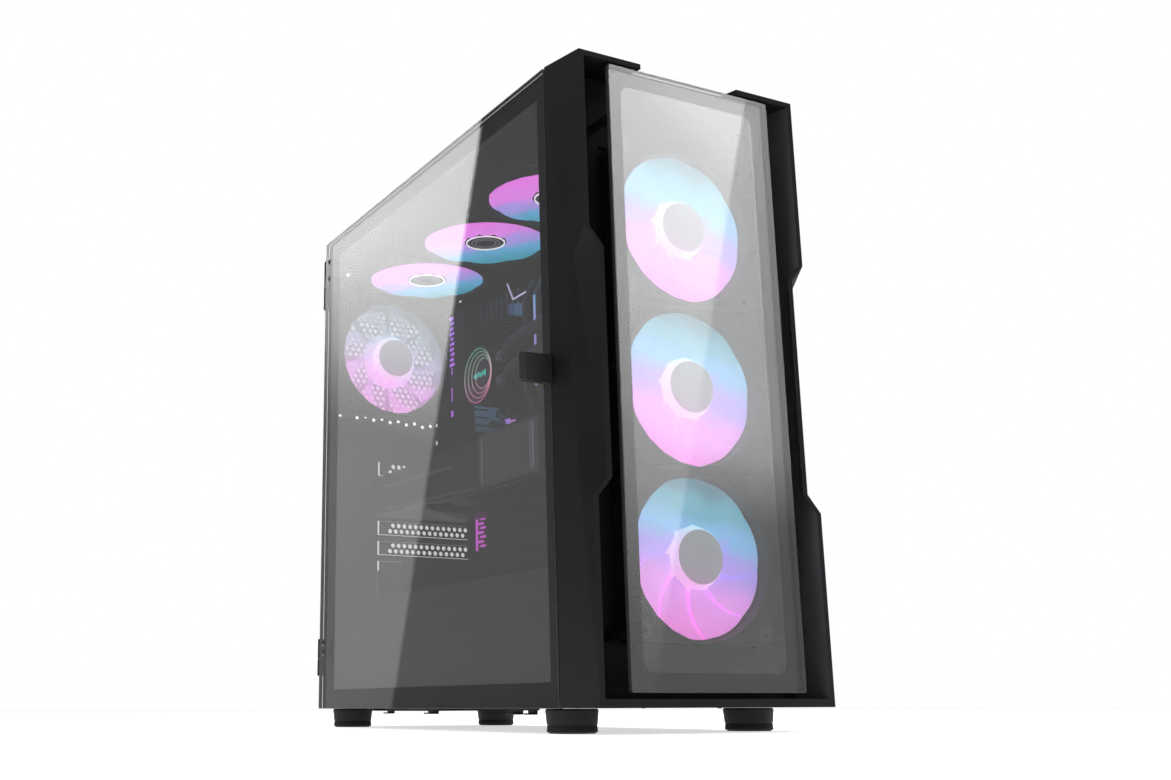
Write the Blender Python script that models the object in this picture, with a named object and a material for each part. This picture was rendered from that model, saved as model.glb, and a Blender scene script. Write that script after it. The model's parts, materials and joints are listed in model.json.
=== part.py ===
"""Desktop computer tower: mid-size case with a glass door, a glass front and seven 120 mm fans.

Lengths are in metres.  The pieces are laid out in the case's own frame: x to the right as seen
from the front, y backwards from the seam between front bezel and body, z up from the desk.
An empty then carries that frame so that the model's origin is the middle of its footprint.
"""
import math

import bmesh
import bpy
from mathutils import Matrix, Vector
from mathutils.geometry import tessellate_polygon

# ---------------------------------------------------------------- driving sizes
CASE_WIDTH = 0.200
BODY_HEIGHT = 0.473
BODY_DEPTH = 0.434
BEZEL_DEPTH = 0.0477
FOOT_HEIGHT = 0.017
FOOT_RADIUS = 0.0185
FOOT_INSET_X = 0.022
FOOT_INSET_FRONT = 0.020
FOOT_INSET_REAR = 0.033

STEEL = 0.0012
GLASS = 0.004
PLASTIC = 0.0042
GAP = 0.0003
RUNNING_GAP = 0.0015
SEAM_GAP = 0.002

FAN_SIZE = 0.120
FAN_DEPTH = 0.025
FAN_SPACING = 0.0035
FAN_HUB_R = 0.0205
FRONT_FAN_LOW_Z = 0.1030
TOP_FAN_FRONT_Y = 0.1215
RADIATOR_DEPTH = 0.0195

CABLE_SPACE = 0.0210
STANDOFF = 0.0059
BOARD_THICKNESS = 0.0016
BOARD_HEIGHT = 0.3048
BOARD_WIDTH = 0.2440
BOARD_LOW_Z = 0.1050
BOARD_REAR_GAP = 0.0060
SLOT_PITCH = 0.02032
SLOT_COUNT = 7
SLOT_WIDTH = 0.1045
SHROUD_TOP_Z = 0.0982
SHROUD_INSET = 0.0120

CARD_LENGTH = 0.335
CARD_REACH = 0.1215
CARD_SLOT = 5
PSU_WIDTH = 0.150
PSU_HEIGHT = 0.086
PSU_LENGTH = 0.150

HANDLE_REACH = 0.0255
HANDLE_HEIGHT = 0.0210
HANDLE_LOW_Z = 0.2250
HINGE_OVERHANG = 0.0040
HINGE_R = 0.0030
THUMBSCREW_R = 0.0060
THUMBSCREW_LENGTH = 0.0080
PANEL_FLANGE = 0.0110

# ---------------------------------------------------------------- derived places
FLOOR = FOOT_HEIGHT
TOP = FOOT_HEIGHT + BODY_HEIGHT
HALF = CASE_WIDTH / 2
REAR = BODY_DEPTH
REAR_INSIDE = REAR - STEEL
HINGE_Y = REAR + HINGE_OVERHANG
HINGE_X = -HALF + HINGE_R
FLANGE_Y = REAR + GAP
THUMBSCREW_END = FLANGE_Y + STEEL + GAP + THUMBSCREW_LENGTH

FAN_PITCH = FAN_SIZE + FAN_SPACING
FAN_BORE_R = FAN_SIZE / 2 - 0.0010
FAN_TIP_R = FAN_BORE_R - 0.0015
FAN_SCREW_R = FAN_SIZE / 2 - 0.0075

TRAY_X = HALF - CABLE_SPACE
BOARD_X = TRAY_X - STANDOFF - BOARD_THICKNESS
BOARD_Y1 = REAR - BOARD_REAR_GAP
BOARD_Y0 = BOARD_Y1 - BOARD_WIDTH
BOARD_Z0 = FLOOR + BOARD_LOW_Z
BOARD_Z1 = BOARD_Z0 + BOARD_HEIGHT
SLOT_LOW_Z = BOARD_LOW_Z + 0.0124
SLOT_RIGHT_X = BOARD_X - 0.0060
SLOT_LEFT_X = SLOT_RIGHT_X - SLOT_WIDTH
CARD_LEFT_X = BOARD_X - CARD_REACH
SHROUD_LEFT_X = -HALF + SHROUD_INSET
TOP_FAN_X = TRAY_X - 0.0336 - FAN_SIZE / 2
REAR_FAN_Z = BOARD_LOW_Z + 0.2470

SHIFT_X = HANDLE_REACH / 2
SHIFT_Y = (BEZEL_DEPTH - THUMBSCREW_END) / 2


# ---------------------------------------------------------------- scene and materials
def clear_scene():
    for obj in list(bpy.data.objects):
        bpy.data.objects.remove(obj, do_unlink=True)


def finish(name, colour, roughness, metallic=0.0, alpha=1.0):
    """One Principled finish."""
    material = bpy.data.materials.new(name)
    material.use_nodes = True
    shader = material.node_tree.nodes["Principled BSDF"]
    shader.inputs["Base Color"].default_value = (*colour, 1.0)
    shader.inputs["Roughness"].default_value = roughness
    shader.inputs["Metallic"].default_value = metallic
    shader.inputs["Alpha"].default_value = alpha
    return material


clear_scene()
CASE = bpy.data.objects.new("case_frame", None)
CASE.location = (SHIFT_X, SHIFT_Y, 0.0)
bpy.context.scene.collection.objects.link(CASE)

BLACK_STEEL = finish("black_steel", (0.020, 0.020, 0.022), 0.55, 0.3)
BLACK_PLASTIC = finish("black_plastic", (0.018, 0.018, 0.020), 0.45)
RUBBER = finish("rubber", (0.012, 0.012, 0.012), 0.8)
TINTED_GLASS = finish("tinted_glass", (0.05, 0.05, 0.055), 0.03, 0.0, 0.4)
FAN_BLADE = finish("fan_blade", (0.75, 0.65, 0.95), 0.35)
BARE_STEEL = finish("bare_steel", (0.55, 0.56, 0.58), 0.35, 0.9)
BOARD_BLACK = finish("board_black", (0.02, 0.022, 0.025), 0.5)
ALUMINIUM = finish("aluminium", (0.30, 0.31, 0.33), 0.4, 0.8)
FILTER_MESH = finish("filter_mesh", (0.03, 0.03, 0.03), 0.7)


# ---------------------------------------------------------------- solids from outlines
def circle(cx, cy, radius, segments, turn=0.0):
    step = 2 * math.pi / segments
    return [(cx + radius * math.cos(turn + i * step), cy + radius * math.sin(turn + i * step))
            for i in range(segments)]


def rectangle(x0, y0, x1, y1, corner=0.0, segments=3):
    """Corner points, or rounded corners when a corner radius is given."""
    if corner <= 0:
        return [(x0, y0), (x1, y0), (x1, y1), (x0, y1)]
    centres = [(x1 - corner, y1 - corner), (x0 + corner, y1 - corner),
               (x0 + corner, y0 + corner), (x1 - corner, y0 + corner)]
    points = []
    for quarter, (cx, cy) in enumerate(centres):
        for i in range(segments + 1):
            angle = (quarter + i / segments) * math.pi / 2
            points.append((cx + corner * math.cos(angle), cy + corner * math.sin(angle)))
    return points


AXES = {"xy": lambda u, v, w: (u, v, w),
        "xz": lambda u, v, w: (u, w, v),
        "yz": lambda u, v, w: (w, u, v)}


def slab(bm, outline, holes, low, high, plane):
    """Adds to bm one closed slab: an outline with holes, from low to high along the third axis."""
    place = AXES[plane]
    loops = [outline] + list(holes)
    triangles = tessellate_polygon([[Vector((u, v, 0)) for u, v in loop] for loop in loops])
    flat = [point for loop in loops for point in loop]
    bottom = [bm.verts.new(place(u, v, low)) for u, v in flat]
    top = [bm.verts.new(place(u, v, high)) for u, v in flat]
    for a, b, c in triangles:
        bm.faces.new((bottom[a], bottom[b], bottom[c]))
        bm.faces.new((top[a], top[b], top[c]))
    start = 0
    for loop in loops:
        count = len(loop)
        for i in range(count):
            a, b = start + i, start + (i + 1) % count
            bm.faces.new((bottom[a], bottom[b], top[b], top[a]))
        start += count


def block(bm, low, high):
    """Adds to bm one box between two corners."""
    slab(bm, rectangle(low[0], low[1], high[0], high[1]), [], low[2], high[2], "xy")


def piece(name, bm, material, location=(0, 0, 0), rotation=(0, 0, 0), smooth=False):
    """Turns bm into a named object of the case."""
    bmesh.ops.recalc_face_normals(bm, faces=bm.faces)
    mesh = bpy.data.meshes.new(name)
    bm.to_mesh(mesh)
    bm.free()
    return place_mesh(name, mesh, material, location, rotation, smooth)


def place_mesh(name, mesh, material, location=(0, 0, 0), rotation=(0, 0, 0), smooth=False):
    if material is not None and not mesh.materials:
        mesh.materials.append(material)
    if smooth:
        mesh.shade_smooth()
        mesh.set_sharp_from_angle(angle=math.radians(35))
    obj = bpy.data.objects.new(name, mesh)
    obj.location = location
    obj.rotation_euler = rotation
    obj.parent = CASE
    bpy.context.scene.collection.objects.link(obj)
    return obj


def combine(obj, bm, operation):
    """Cuts or adds a helper solid, which stays hidden."""
    helper = piece(obj.name + "_" + operation.lower(), bm, None)
    helper.hide_render = True
    helper.display_type = "WIRE"
    modifier = obj.modifiers.new(operation.title(), "BOOLEAN")
    modifier.operation = operation
    modifier.object = helper
    return helper


def lathe(bm, profile, segments):
    """Turns a closed (radius, height) profile about Z; radius 0 ends close the solid."""
    rings = []
    for radius, height in profile:
        if radius == 0:
            rings.append([bm.verts.new((0, 0, height))])
        else:
            rings.append([bm.verts.new((x, y, height)) for x, y in circle(0, 0, radius, segments)])
    for lower, upper in zip(rings, rings[1:]):
        for i in range(segments):
            j = (i + 1) % segments
            corners = {lower[i % len(lower)]: 0, lower[j % len(lower)]: 0,
                       upper[j % len(upper)]: 0, upper[i % len(upper)]: 0}
            if len(corners) > 2:
                bm.faces.new(list(corners))


# ---------------------------------------------------------------- front bezel and its glass
SIDE_NOTCH_LOW = 0.138
SIDE_NOTCH_HIGH = 0.330
SIDE_PINCH = 0.0116
SIDE_PINCH_DEPTH = 0.0155
PINCH_RAMP_FRONT = 0.0135
PINCH_RAMP_BACK = 0.0185
BEZEL_TOP_FALL = 0.007
TOP_CUT_HALF = 0.0453
TOP_CUT_DEPTH = 0.0330
BEZEL_BOTTOM_RIM = 0.0058
BEZEL_WEB_Y = -0.0120
BEZEL_WEB = 0.0024
FRONT_GLASS_HALF = HALF - 0.0256
FRONT_GLASS_LOW = 0.0100
FRONT_GLASS_HIGH = BODY_HEIGHT - 0.0130
FRONT_WALL_Y = -0.0087
FAN_WINDOW_HALF = FAN_SIZE / 2 + 0.0012


def pinch_cutter(bm, side, inset):
    """The wedge that pinches one long side of the bezel, with a slanted facet at each end."""
    reach = 0.5
    front = -BEZEL_DEPTH

    def row(z_back, z_front, z_corner):
        back = Vector((HALF - inset, front + SIDE_PINCH_DEPTH, z_back))
        face = Vector((HALF - inset - SIDE_PINCH, front, z_front))
        corner = Vector((HALF - inset, front, z_corner))
        middle = (back + face) / 2
        points = (back + (back - face) * reach, face + (face - back) * reach,
                  corner + (corner - middle) * 3 * reach)
        return [bm.verts.new((side * p.x, p.y, p.z + FLOOR)) for p in points]

    lower = row(SIDE_NOTCH_LOW + PINCH_RAMP_BACK, SIDE_NOTCH_LOW + PINCH_RAMP_FRONT, SIDE_NOTCH_LOW)
    upper = row(SIDE_NOTCH_HIGH - PINCH_RAMP_BACK, SIDE_NOTCH_HIGH - PINCH_RAMP_FRONT, SIDE_NOTCH_HIGH)
    bm.faces.new(lower)
    bm.faces.new(upper)
    for i in range(3):
        j = (i + 1) % 3
        bm.faces.new((lower[i], lower[j], upper[j], upper[i]))


def evaluated_copy(obj):
    """The mesh of an object with its modifiers applied."""
    bpy.context.view_layer.update()
    graph = bpy.context.evaluated_depsgraph_get()
    return bpy.data.meshes.new_from_object(obj.evaluated_get(graph))


def front_bezel():
    """Moulded shell: pinched sides, open front, a cut in the top edge and a slotted web."""
    profile = [(-BEZEL_DEPTH, FLOOR), (-GAP, FLOOR), (-GAP, TOP),
               (-BEZEL_DEPTH, TOP - BEZEL_TOP_FALL)]
    bm = bmesh.new()
    slab(bm, profile, [], -HALF, HALF, "yz")
    shell = piece("front_bezel", bm, BLACK_PLASTIC)
    cutters = bmesh.new()
    pinch_cutter(cutters, 1, 0.0)
    pinch_cutter(cutters, -1, 0.0)
    combine(shell, cutters, "DIFFERENCE")

    hollow_profile = [(-2 * BEZEL_DEPTH, FLOOR + BEZEL_BOTTOM_RIM), (BEZEL_DEPTH, FLOOR + BEZEL_BOTTOM_RIM),
                      (BEZEL_DEPTH, TOP - PLASTIC), (0, TOP - PLASTIC),
                      (-BEZEL_DEPTH, TOP - BEZEL_TOP_FALL - PLASTIC),
                      (-2 * BEZEL_DEPTH, TOP - BEZEL_TOP_FALL - PLASTIC)]
    bm = bmesh.new()
    slab(bm, hollow_profile, [], -HALF + PLASTIC, HALF - PLASTIC, "yz")
    hollow = piece("front_bezel_hollow", bm, None)
    hollow.hide_render = True
    hollow.display_type = "WIRE"
    inner_cutters = bmesh.new()
    pinch_cutter(inner_cutters, 1, PLASTIC)
    pinch_cutter(inner_cutters, -1, PLASTIC)
    combine(hollow, inner_cutters, "DIFFERENCE")
    cut = shell.modifiers.new("Hollow", "BOOLEAN")
    cut.operation = "DIFFERENCE"
    cut.object = hollow

    web = bmesh.new()
    slots = [rectangle(-FAN_WINDOW_HALF, FLOOR + FRONT_FAN_LOW_Z - FAN_WINDOW_HALF,
                       FAN_WINDOW_HALF, FLOOR + FRONT_FAN_LOW_Z + 2 * FAN_PITCH + FAN_WINDOW_HALF)]
    rows = 9
    pitch = (BODY_HEIGHT - 0.03) / rows
    for side in (-1, 1):
        for row in range(rows):
            z = FLOOR + 0.018 + row * pitch
            near, far = sorted((side * (FRONT_GLASS_HALF - 0.0012), side * (HALF - PLASTIC - 0.009)))
            slots.append(rectangle(near, z, far, z + pitch - 0.012))
    overlap = PLASTIC / 2
    slab(web, rectangle(-HALF + overlap, FLOOR + overlap, HALF - overlap, TOP - BEZEL_TOP_FALL),
         slots, BEZEL_WEB_Y, BEZEL_WEB_Y + BEZEL_WEB, "xz")
    combine(shell, web, "UNION")

    notch = bmesh.new()
    block(notch, (-TOP_CUT_HALF, -2 * BEZEL_DEPTH, TOP - BEZEL_TOP_FALL - 3 * PLASTIC),
          (TOP_CUT_HALF, TOP_CUT_DEPTH - BEZEL_DEPTH, TOP + PLASTIC))
    combine(shell, notch, "DIFFERENCE")


def front_glass():
    bm = bmesh.new()
    outline = rectangle(-FRONT_GLASS_HALF, FLOOR + FRONT_GLASS_LOW,
                        FRONT_GLASS_HALF, FLOOR + FRONT_GLASS_HIGH, 0.0025)
    slab(bm, outline, [], -BEZEL_DEPTH, -BEZEL_DEPTH + GLASS, "xz")
    piece("front_glass", bm, TINTED_GLASS)


def glass_carrier():
    """Frame bonded behind the front glass, with six posts that stand on the bezel's web."""
    edge = 0.002
    bar = 0.010
    depth = 0.003
    back = -BEZEL_DEPTH + GLASS + GAP
    x, low, high = FRONT_GLASS_HALF - edge, FLOOR + FRONT_GLASS_LOW + edge, FLOOR + FRONT_GLASS_HIGH - edge
    bm = bmesh.new()
    slab(bm, rectangle(-x, low, x, high), [rectangle(-x + bar, low + bar, x - bar, high - bar)],
         back, back + depth, "xz")
    frame = piece("glass_carrier", bm, BLACK_PLASTIC)
    posts = bmesh.new()
    post_r = 0.0035
    post_x = FRONT_GLASS_HALF - 0.0062
    for side in (-1, 1):
        for share in (0.08, 0.5, 0.92):
            z = low + share * (high - low)
            slab(posts, circle(side * post_x, z, post_r, 10), [], back + depth / 2, BEZEL_WEB_Y - GAP, "xz")
    combine(frame, posts, "UNION")


def front_wall():
    """Pressed front wall of the chassis, with three fan openings and its edges folded back."""
    side = HALF - 0.0085
    low, high = FLOOR + 0.0085, TOP - 0.0085
    fans = [circle(0, FLOOR + FRONT_FAN_LOW_Z + i * FAN_PITCH, FAN_BORE_R - 0.002, 32) for i in range(3)]
    bm = bmesh.new()
    slab(bm, rectangle(-side, low, side, high), fans, FRONT_WALL_Y, FRONT_WALL_Y + STEEL, "xz")
    wall = piece("front_wall", bm, BLACK_STEEL)
    fold = bmesh.new()
    slab(fold, rectangle(-side, low, side, high),
         [rectangle(-side + STEEL, low + STEEL, side - STEEL, high - STEEL)],
         FRONT_WALL_Y + STEEL / 2, 0.003, "xz")
    combine(wall, fold, "UNION")


# ---------------------------------------------------------------- fans
def blade_points(hub_r, tip_r, low, high, share, along):
    """One point of a blade's middle surface: share runs hub to tip, along runs edge to edge."""
    radius = hub_r + share * (tip_r - hub_r)
    sweep = math.radians(34 * along + 22 * share)
    height = low + (high - low) * (1 - along) * (0.85 + 0.15 * share)
    return Vector((radius * math.cos(sweep), radius * math.sin(sweep), height))


def rotor_mesh(name, hub_r, tip_r, depth, blades, material, hub_segments=18):
    """Hub and swept blades as one solid, turning about Z, its back at z = 0."""
    hub = bmesh.new()
    lathe(hub, [(0, 0), (hub_r, 0), (hub_r, depth * 0.93), (hub_r * 0.93, depth), (0, depth)], hub_segments)
    body = piece(name, hub, material)
    thickness = 0.0012
    radial, chord = 2, 3
    ring = bmesh.new()
    for number in range(blades):
        turn = Matrix.Rotation(2 * math.pi * number / blades, 3, "Z")
        sides = []
        for lift in (-thickness / 2, thickness / 2):
            grid = [[ring.verts.new(turn @ (blade_points(hub_r - 0.001, tip_r, depth * 0.12, depth * 0.86,
                                                         i / (radial - 1), j / (chord - 1))
                                            + Vector((0, 0, lift))))
                     for j in range(chord)] for i in range(radial)]
            sides.append(grid)
        under, over = sides
        end, edge = radial - 1, chord - 1
        for i in range(end):
            for j in range(edge):
                for grid in sides:
                    ring.faces.new((grid[i][j], grid[i + 1][j], grid[i + 1][j + 1], grid[i][j + 1]))
        border = ([(i, 0) for i in range(end)] + [(end, j) for j in range(edge)]
                  + [(i, edge) for i in range(end, 0, -1)] + [(0, j) for j in range(edge, 0, -1)])
        for (i, j), (k, m) in zip(border, border[1:] + border[:1]):
            ring.faces.new((under[i][j], under[k][m], over[k][m], over[i][j]))
    helper = combine(body, ring, "UNION")
    mesh = evaluated_copy(body)
    bpy.data.objects.remove(body, do_unlink=True)
    bpy.data.objects.remove(helper, do_unlink=True)
    return mesh


def fan_frame_mesh():
    """Square frame with a round bore, screw holes and a four-armed motor seat at its back."""
    half = FAN_SIZE / 2
    screws = [circle(sx * FAN_SCREW_R, sy * FAN_SCREW_R, 0.0022, 5) for sx in (-1, 1) for sy in (-1, 1)]
    bm = bmesh.new()
    slab(bm, rectangle(-half, -half, half, half, 0.006, 1), [circle(0, 0, FAN_BORE_R, 24)] + screws,
         0, FAN_DEPTH, "xy")
    frame = piece("fan_frame_pattern", bm, BLACK_PLASTIC)
    seat_depth = 0.0030
    arm = 0.0022
    reach = FAN_BORE_R + 0.0006
    cross = bmesh.new()
    slab(cross, [(reach, -arm), (reach, arm), (arm, arm), (arm, reach), (-arm, reach), (-arm, arm),
                 (-reach, arm), (-reach, -arm), (-arm, -arm), (-arm, -reach), (arm, -reach), (arm, -arm)],
         [], 0.0004, seat_depth - 0.0004, "xy")
    first = combine(frame, cross, "UNION")
    seat = bmesh.new()
    slab(seat, circle(0, 0, FAN_HUB_R, 12), [], 0.0002, seat_depth, "xy")
    second = combine(first, seat, "UNION")
    mesh = evaluated_copy(frame)
    for obj in (frame, first, second):
        bpy.data.objects.remove(obj, do_unlink=True)
    return mesh


def case_fans():
    """Three front, three top and one rear fan; each frame's back faces the steel that holds it."""
    frame = fan_frame_mesh()
    rotor = rotor_mesh("rotor_pattern", FAN_HUB_R, FAN_TIP_R, 0.0195, 7, FAN_BLADE)
    seat_clear = 0.0036
    facing_front = (math.radians(90), 0, 0)
    facing_down = (math.radians(180), 0, 0)
    places = []
    for i in range(3):
        z = FLOOR + FRONT_FAN_LOW_Z + i * FAN_PITCH
        places.append(("front_fan_%d" % (i + 1), Vector((0, FRONT_WALL_Y - GAP, z)), facing_front,
                       Vector((0, -1, 0))))
    for i in range(3):
        y = TOP_FAN_FRONT_Y + i * FAN_PITCH
        places.append(("top_fan_%d" % (i + 1), Vector((TOP_FAN_X, y, RADIATOR_LOW - GAP)), facing_down,
                       Vector((0, 0, -1))))
    places.append(("rear_fan", Vector((REAR_FAN_X, GRILLE_Y - GAP, FLOOR + REAR_FAN_Z)), facing_front,
                   Vector((0, -1, 0))))
    for name, spot, rotation, forward in places:
        place_mesh(name + "_frame", frame, BLACK_PLASTIC, spot, rotation)
        place_mesh(name + "_rotor", rotor, FAN_BLADE, spot + forward * seat_clear, rotation)


# ---------------------------------------------------------------- chassis
ROOF_Z = TOP - 0.0030
RADIATOR_LOW = ROOF_Z - GAP - RADIATOR_DEPTH
GRILLE_Y = REAR_INSIDE - GAP - STEEL
CHASSIS_HALF = HALF - GLASS - GAP
PANEL_INSIDE = HALF - STEEL - GAP


def base_pan():
    """Floor of the chassis with turned-up sides and the power supply's air opening."""
    vent_half = PSU_FILTER_HALF - 0.006
    vent = rectangle(-vent_half, REAR - 0.140, vent_half, REAR - 0.022, 0.01)
    outline = rectangle(-CHASSIS_HALF, 0.004, PANEL_INSIDE, REAR_INSIDE - GAP)
    bm = bmesh.new()
    slab(bm, outline, [vent], FLOOR, FLOOR + STEEL, "xy")
    pan = piece("base_pan", bm, BLACK_STEEL)
    lip = 0.009
    sides = bmesh.new()
    for x0, x1 in ((-CHASSIS_HALF, -CHASSIS_HALF + STEEL), (PANEL_INSIDE - STEEL, PANEL_INSIDE)):
        block(sides, (x0, 0.004, FLOOR + STEEL / 2), (x1, REAR_INSIDE - GAP, FLOOR + lip))
    combine(pan, sides, "UNION")


def feet():
    """Four round rubber feet under the corners, a little narrower at the desk."""
    places = (("foot_front_left", -1, FOOT_INSET_FRONT),
              ("foot_front_right", 1, FOOT_INSET_FRONT),
              ("foot_rear_left", -1, REAR - FOOT_INSET_REAR),
              ("foot_rear_right", 1, REAR - FOOT_INSET_REAR))
    for name, side, y in places:
        bm = bmesh.new()
        lathe(bm, [(0, 0), (FOOT_RADIUS - 0.003, 0), (FOOT_RADIUS - 0.0015, 0.0012),
                   (FOOT_RADIUS, FOOT_HEIGHT - GAP), (0, FOOT_HEIGHT - GAP)], 22)
        piece(name, bm, RUBBER, (side * (HALF - FOOT_INSET_X), y, 0), smooth=True)


def slot_z(number):
    """Middle height of an expansion slot, numbered from the lowest."""
    return FLOOR + SLOT_LOW_Z + number * SLOT_PITCH


SLOT_OPEN = 0.0142
THUMBSCREW_HOLE_R = 0.0022
THUMBSCREW_HEIGHTS = (0.070, 0.400)
THUMBSCREW_X = PANEL_INSIDE - PANEL_FLANGE / 2
IO_LOW = BOARD_LOW_Z + 0.1455
IO_HEIGHT = 0.1575
IO_WIDTH = 0.0425
IO_LEFT_X = BOARD_X - IO_WIDTH - 0.001
REAR_FAN_X = IO_LEFT_X + 0.0015 - FAN_SIZE / 2
USB_WIDTH = 0.0134
USB_HEIGHT = 0.0058
REAR_USB_X = IO_LEFT_X + 0.5 * IO_WIDTH
REAR_SOCKETS = [(REAR_USB_X + side * 0.0100, FLOOR + IO_LOW + 0.052 + row * 0.0100, USB_WIDTH, USB_HEIGHT)
                for side in (-1, 1) for row in (0, 1)]
REAR_SOCKETS.append((REAR_USB_X, FLOOR + IO_LOW + 0.085, 0.0140, 0.0120))


def rear_panel():
    """Rear wall: fan opening, rear sockets, slots, power supply opening and hinge brackets."""
    holes = [circle(REAR_FAN_X, FLOOR + REAR_FAN_Z, FAN_BORE_R - 0.0025, 40)]
    holes.append(rectangle(IO_LEFT_X, FLOOR + IO_LOW, IO_LEFT_X + IO_WIDTH, FLOOR + IO_LOW + IO_HEIGHT))
    for number in range(SLOT_COUNT):
        z = slot_z(number)
        holes.append(rectangle(SLOT_LEFT_X, z - SLOT_OPEN / 2, SLOT_RIGHT_X, z + SLOT_OPEN / 2))
    psu_half = PSU_WIDTH / 2 - 0.004
    holes.append(rectangle(-psu_half, FLOOR + 0.006, psu_half, FLOOR + PSU_HEIGHT - 0.002))
    for height in THUMBSCREW_HEIGHTS:
        holes.append(circle(THUMBSCREW_X, FLOOR + height, THUMBSCREW_HOLE_R, 10))
    bm = bmesh.new()
    slab(bm, rectangle(-HALF + 0.006, FLOOR, PANEL_INSIDE, ROOF_Z - GAP), holes, REAR_INSIDE, REAR, "xz")
    wall = piece("rear_panel", bm, BLACK_STEEL)
    for low, high in HINGE_SPANS:
        bracket = bmesh.new()
        middle = (low + high) / 2 - 0.002
        root = REAR - STEEL / 2
        outline = [(-HALF + 0.014, root), (-HALF + 0.014, REAR + 0.0022),
                   (HINGE_X + HINGE_R, HINGE_Y), (HINGE_X, HINGE_Y + HINGE_R),
                   (HINGE_X - HINGE_R, HINGE_Y), (HINGE_X, REAR + 0.0012), (-HALF + 0.007, root)]
        slab(bracket, outline, [], FLOOR + low, FLOOR + middle, "xy")
        combine(wall, bracket, "UNION")
        pin = bmesh.new()
        slab(pin, circle(HINGE_X, HINGE_Y, 0.0013, 10), [], FLOOR + low + 0.004, FLOOR + high - 0.007, "xy")
        combine(wall, pin, "UNION")


def rear_fan_grille():
    """Perforated disc behind the rear fan."""
    pitch = 0.0215
    hole = 0.0098
    holes = []
    reach = 4
    for row in range(-reach, reach + 1):
        for column in range(-reach, reach + 1):
            x = (column + row / 2) * pitch
            z = row * pitch * math.sqrt(3) / 2
            if math.hypot(x, z) < FAN_BORE_R - hole:
                holes.append(circle(REAR_FAN_X + x, FLOOR + REAR_FAN_Z + z, hole, 6, math.pi / 6))
    bm = bmesh.new()
    rim = FAN_SIZE / 2
    z = FLOOR + REAR_FAN_Z
    outline = rectangle(REAR_FAN_X - rim, z - rim, REAR_FAN_X + rim, z + rim)
    slab(bm, outline, holes, GRILLE_Y, GRILLE_Y + STEEL, "xz")
    piece("rear_fan_grille", bm, BLACK_STEEL)


def slot_covers():
    """Comb of break-out covers: one tab in each free slot, joined by a strip at the board's side."""
    y = REAR_INSIDE - GAP - STEEL
    tab = SLOT_OPEN + 0.002
    left, right = SLOT_LEFT_X + 0.0016, SLOT_RIGHT_X + 0.0020
    strip = right + 0.0030
    free = [number for number in reversed(range(SLOT_COUNT)) if number not in (CARD_SLOT - 1, CARD_SLOT)]
    outline = [(strip, slot_z(free[-1]) - tab / 2), (strip, slot_z(free[0]) + tab / 2)]
    for number in free:
        z = slot_z(number)
        if number != free[0]:
            outline.append((right, z + tab / 2))
        outline += [(left, z + tab / 2), (left, z - tab / 2)]
        if number != free[-1]:
            outline.append((right, z - tab / 2))
    bm = bmesh.new()
    slab(bm, outline, [], y, y + STEEL, "xz")
    piece("slot_covers", bm, BLACK_STEEL)


def motherboard_tray():
    """Upright sheet that carries the main board, with cable openings and a cut-out behind the socket."""
    low_y, high_y = 0.008, REAR_INSIDE - GAP
    holes = [rectangle(PUMP_Y - 0.056, FLOOR + PUMP_Z - 0.065, PUMP_Y + 0.054, FLOOR + PUMP_Z + 0.045, 0.008)]
    for rise in (0.025, 0.110, 0.195):
        low = BOARD_Z0 + rise
        holes.append(rectangle(BOARD_Y0 - 0.049, low, BOARD_Y0 - 0.019, low + 0.060, 0.008))
    holes.append(rectangle(BOARD_Y0 + 0.046, BOARD_Z1 + 0.0152, BOARD_Y0 + 0.091, BOARD_Z1 + 0.0352, 0.006))
    bay_half = DRIVE_WIDTH / 2 + DRIVE_CLEAR
    bay_low = FLOOR + 2 * STEEL + GAP
    holes.append(rectangle(DRIVE_Y - bay_half, bay_low, DRIVE_Y + bay_half, CAGE_HIGH - STEEL))
    bm = bmesh.new()
    slab(bm, rectangle(low_y, FLOOR + STEEL + GAP, high_y, ROOF_Z - GAP), holes, TRAY_X, TRAY_X + STEEL, "yz")
    piece("motherboard_tray", bm, BLACK_STEEL)


def psu_shroud():
    """Folded cover over the power supply and drives: a top and the side towards the glass."""
    top, left, right = FLOOR + SHROUD_TOP_Z, SHROUD_LEFT_X, TRAY_X - GAP
    profile = [(left, FLOOR + STEEL + GAP), (left + STEEL, FLOOR + STEEL + GAP), (left + STEEL, top - STEEL),
               (right, top - STEEL), (right, top), (left, top)]
    bm = bmesh.new()
    slab(bm, profile, [], 0.008, REAR_INSIDE - GAP, "xz")
    piece("psu_shroud", bm, BLACK_STEEL)


def roof():
    """Recessed top sheet with the radiator's long opening and an upstand along each side."""
    outline = rectangle(-CHASSIS_HALF, 0.004, PANEL_INSIDE, REAR)
    reach = FAN_SIZE / 2 - 0.005
    vent = rectangle(TOP_FAN_X - reach, TOP_FAN_FRONT_Y - reach,
                     TOP_FAN_X + reach, TOP_FAN_FRONT_Y + 2 * FAN_PITCH + reach, 0.01)
    bm = bmesh.new()
    slab(bm, outline, [vent], ROOF_Z, ROOF_Z + STEEL, "xy")
    sheet = piece("roof", bm, BLACK_STEEL)
    border = bmesh.new()
    inner = rectangle(-CHASSIS_HALF + STEEL, 0.004 + STEEL, PANEL_INSIDE - STEEL, REAR - STEEL)
    slab(border, outline, [inner], ROOF_Z + STEEL / 2, TOP, "xy")
    combine(sheet, border, "UNION")
    ports = bmesh.new()
    block(ports, (IO_LEFT, IO_Y - IO_HALF_DEPTH, ROOF_Z - STEEL),
          (IO_RIGHT, IO_Y + IO_HALF_DEPTH, ROOF_Z + 0.0020))
    combine(sheet, ports, "DIFFERENCE")


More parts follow.
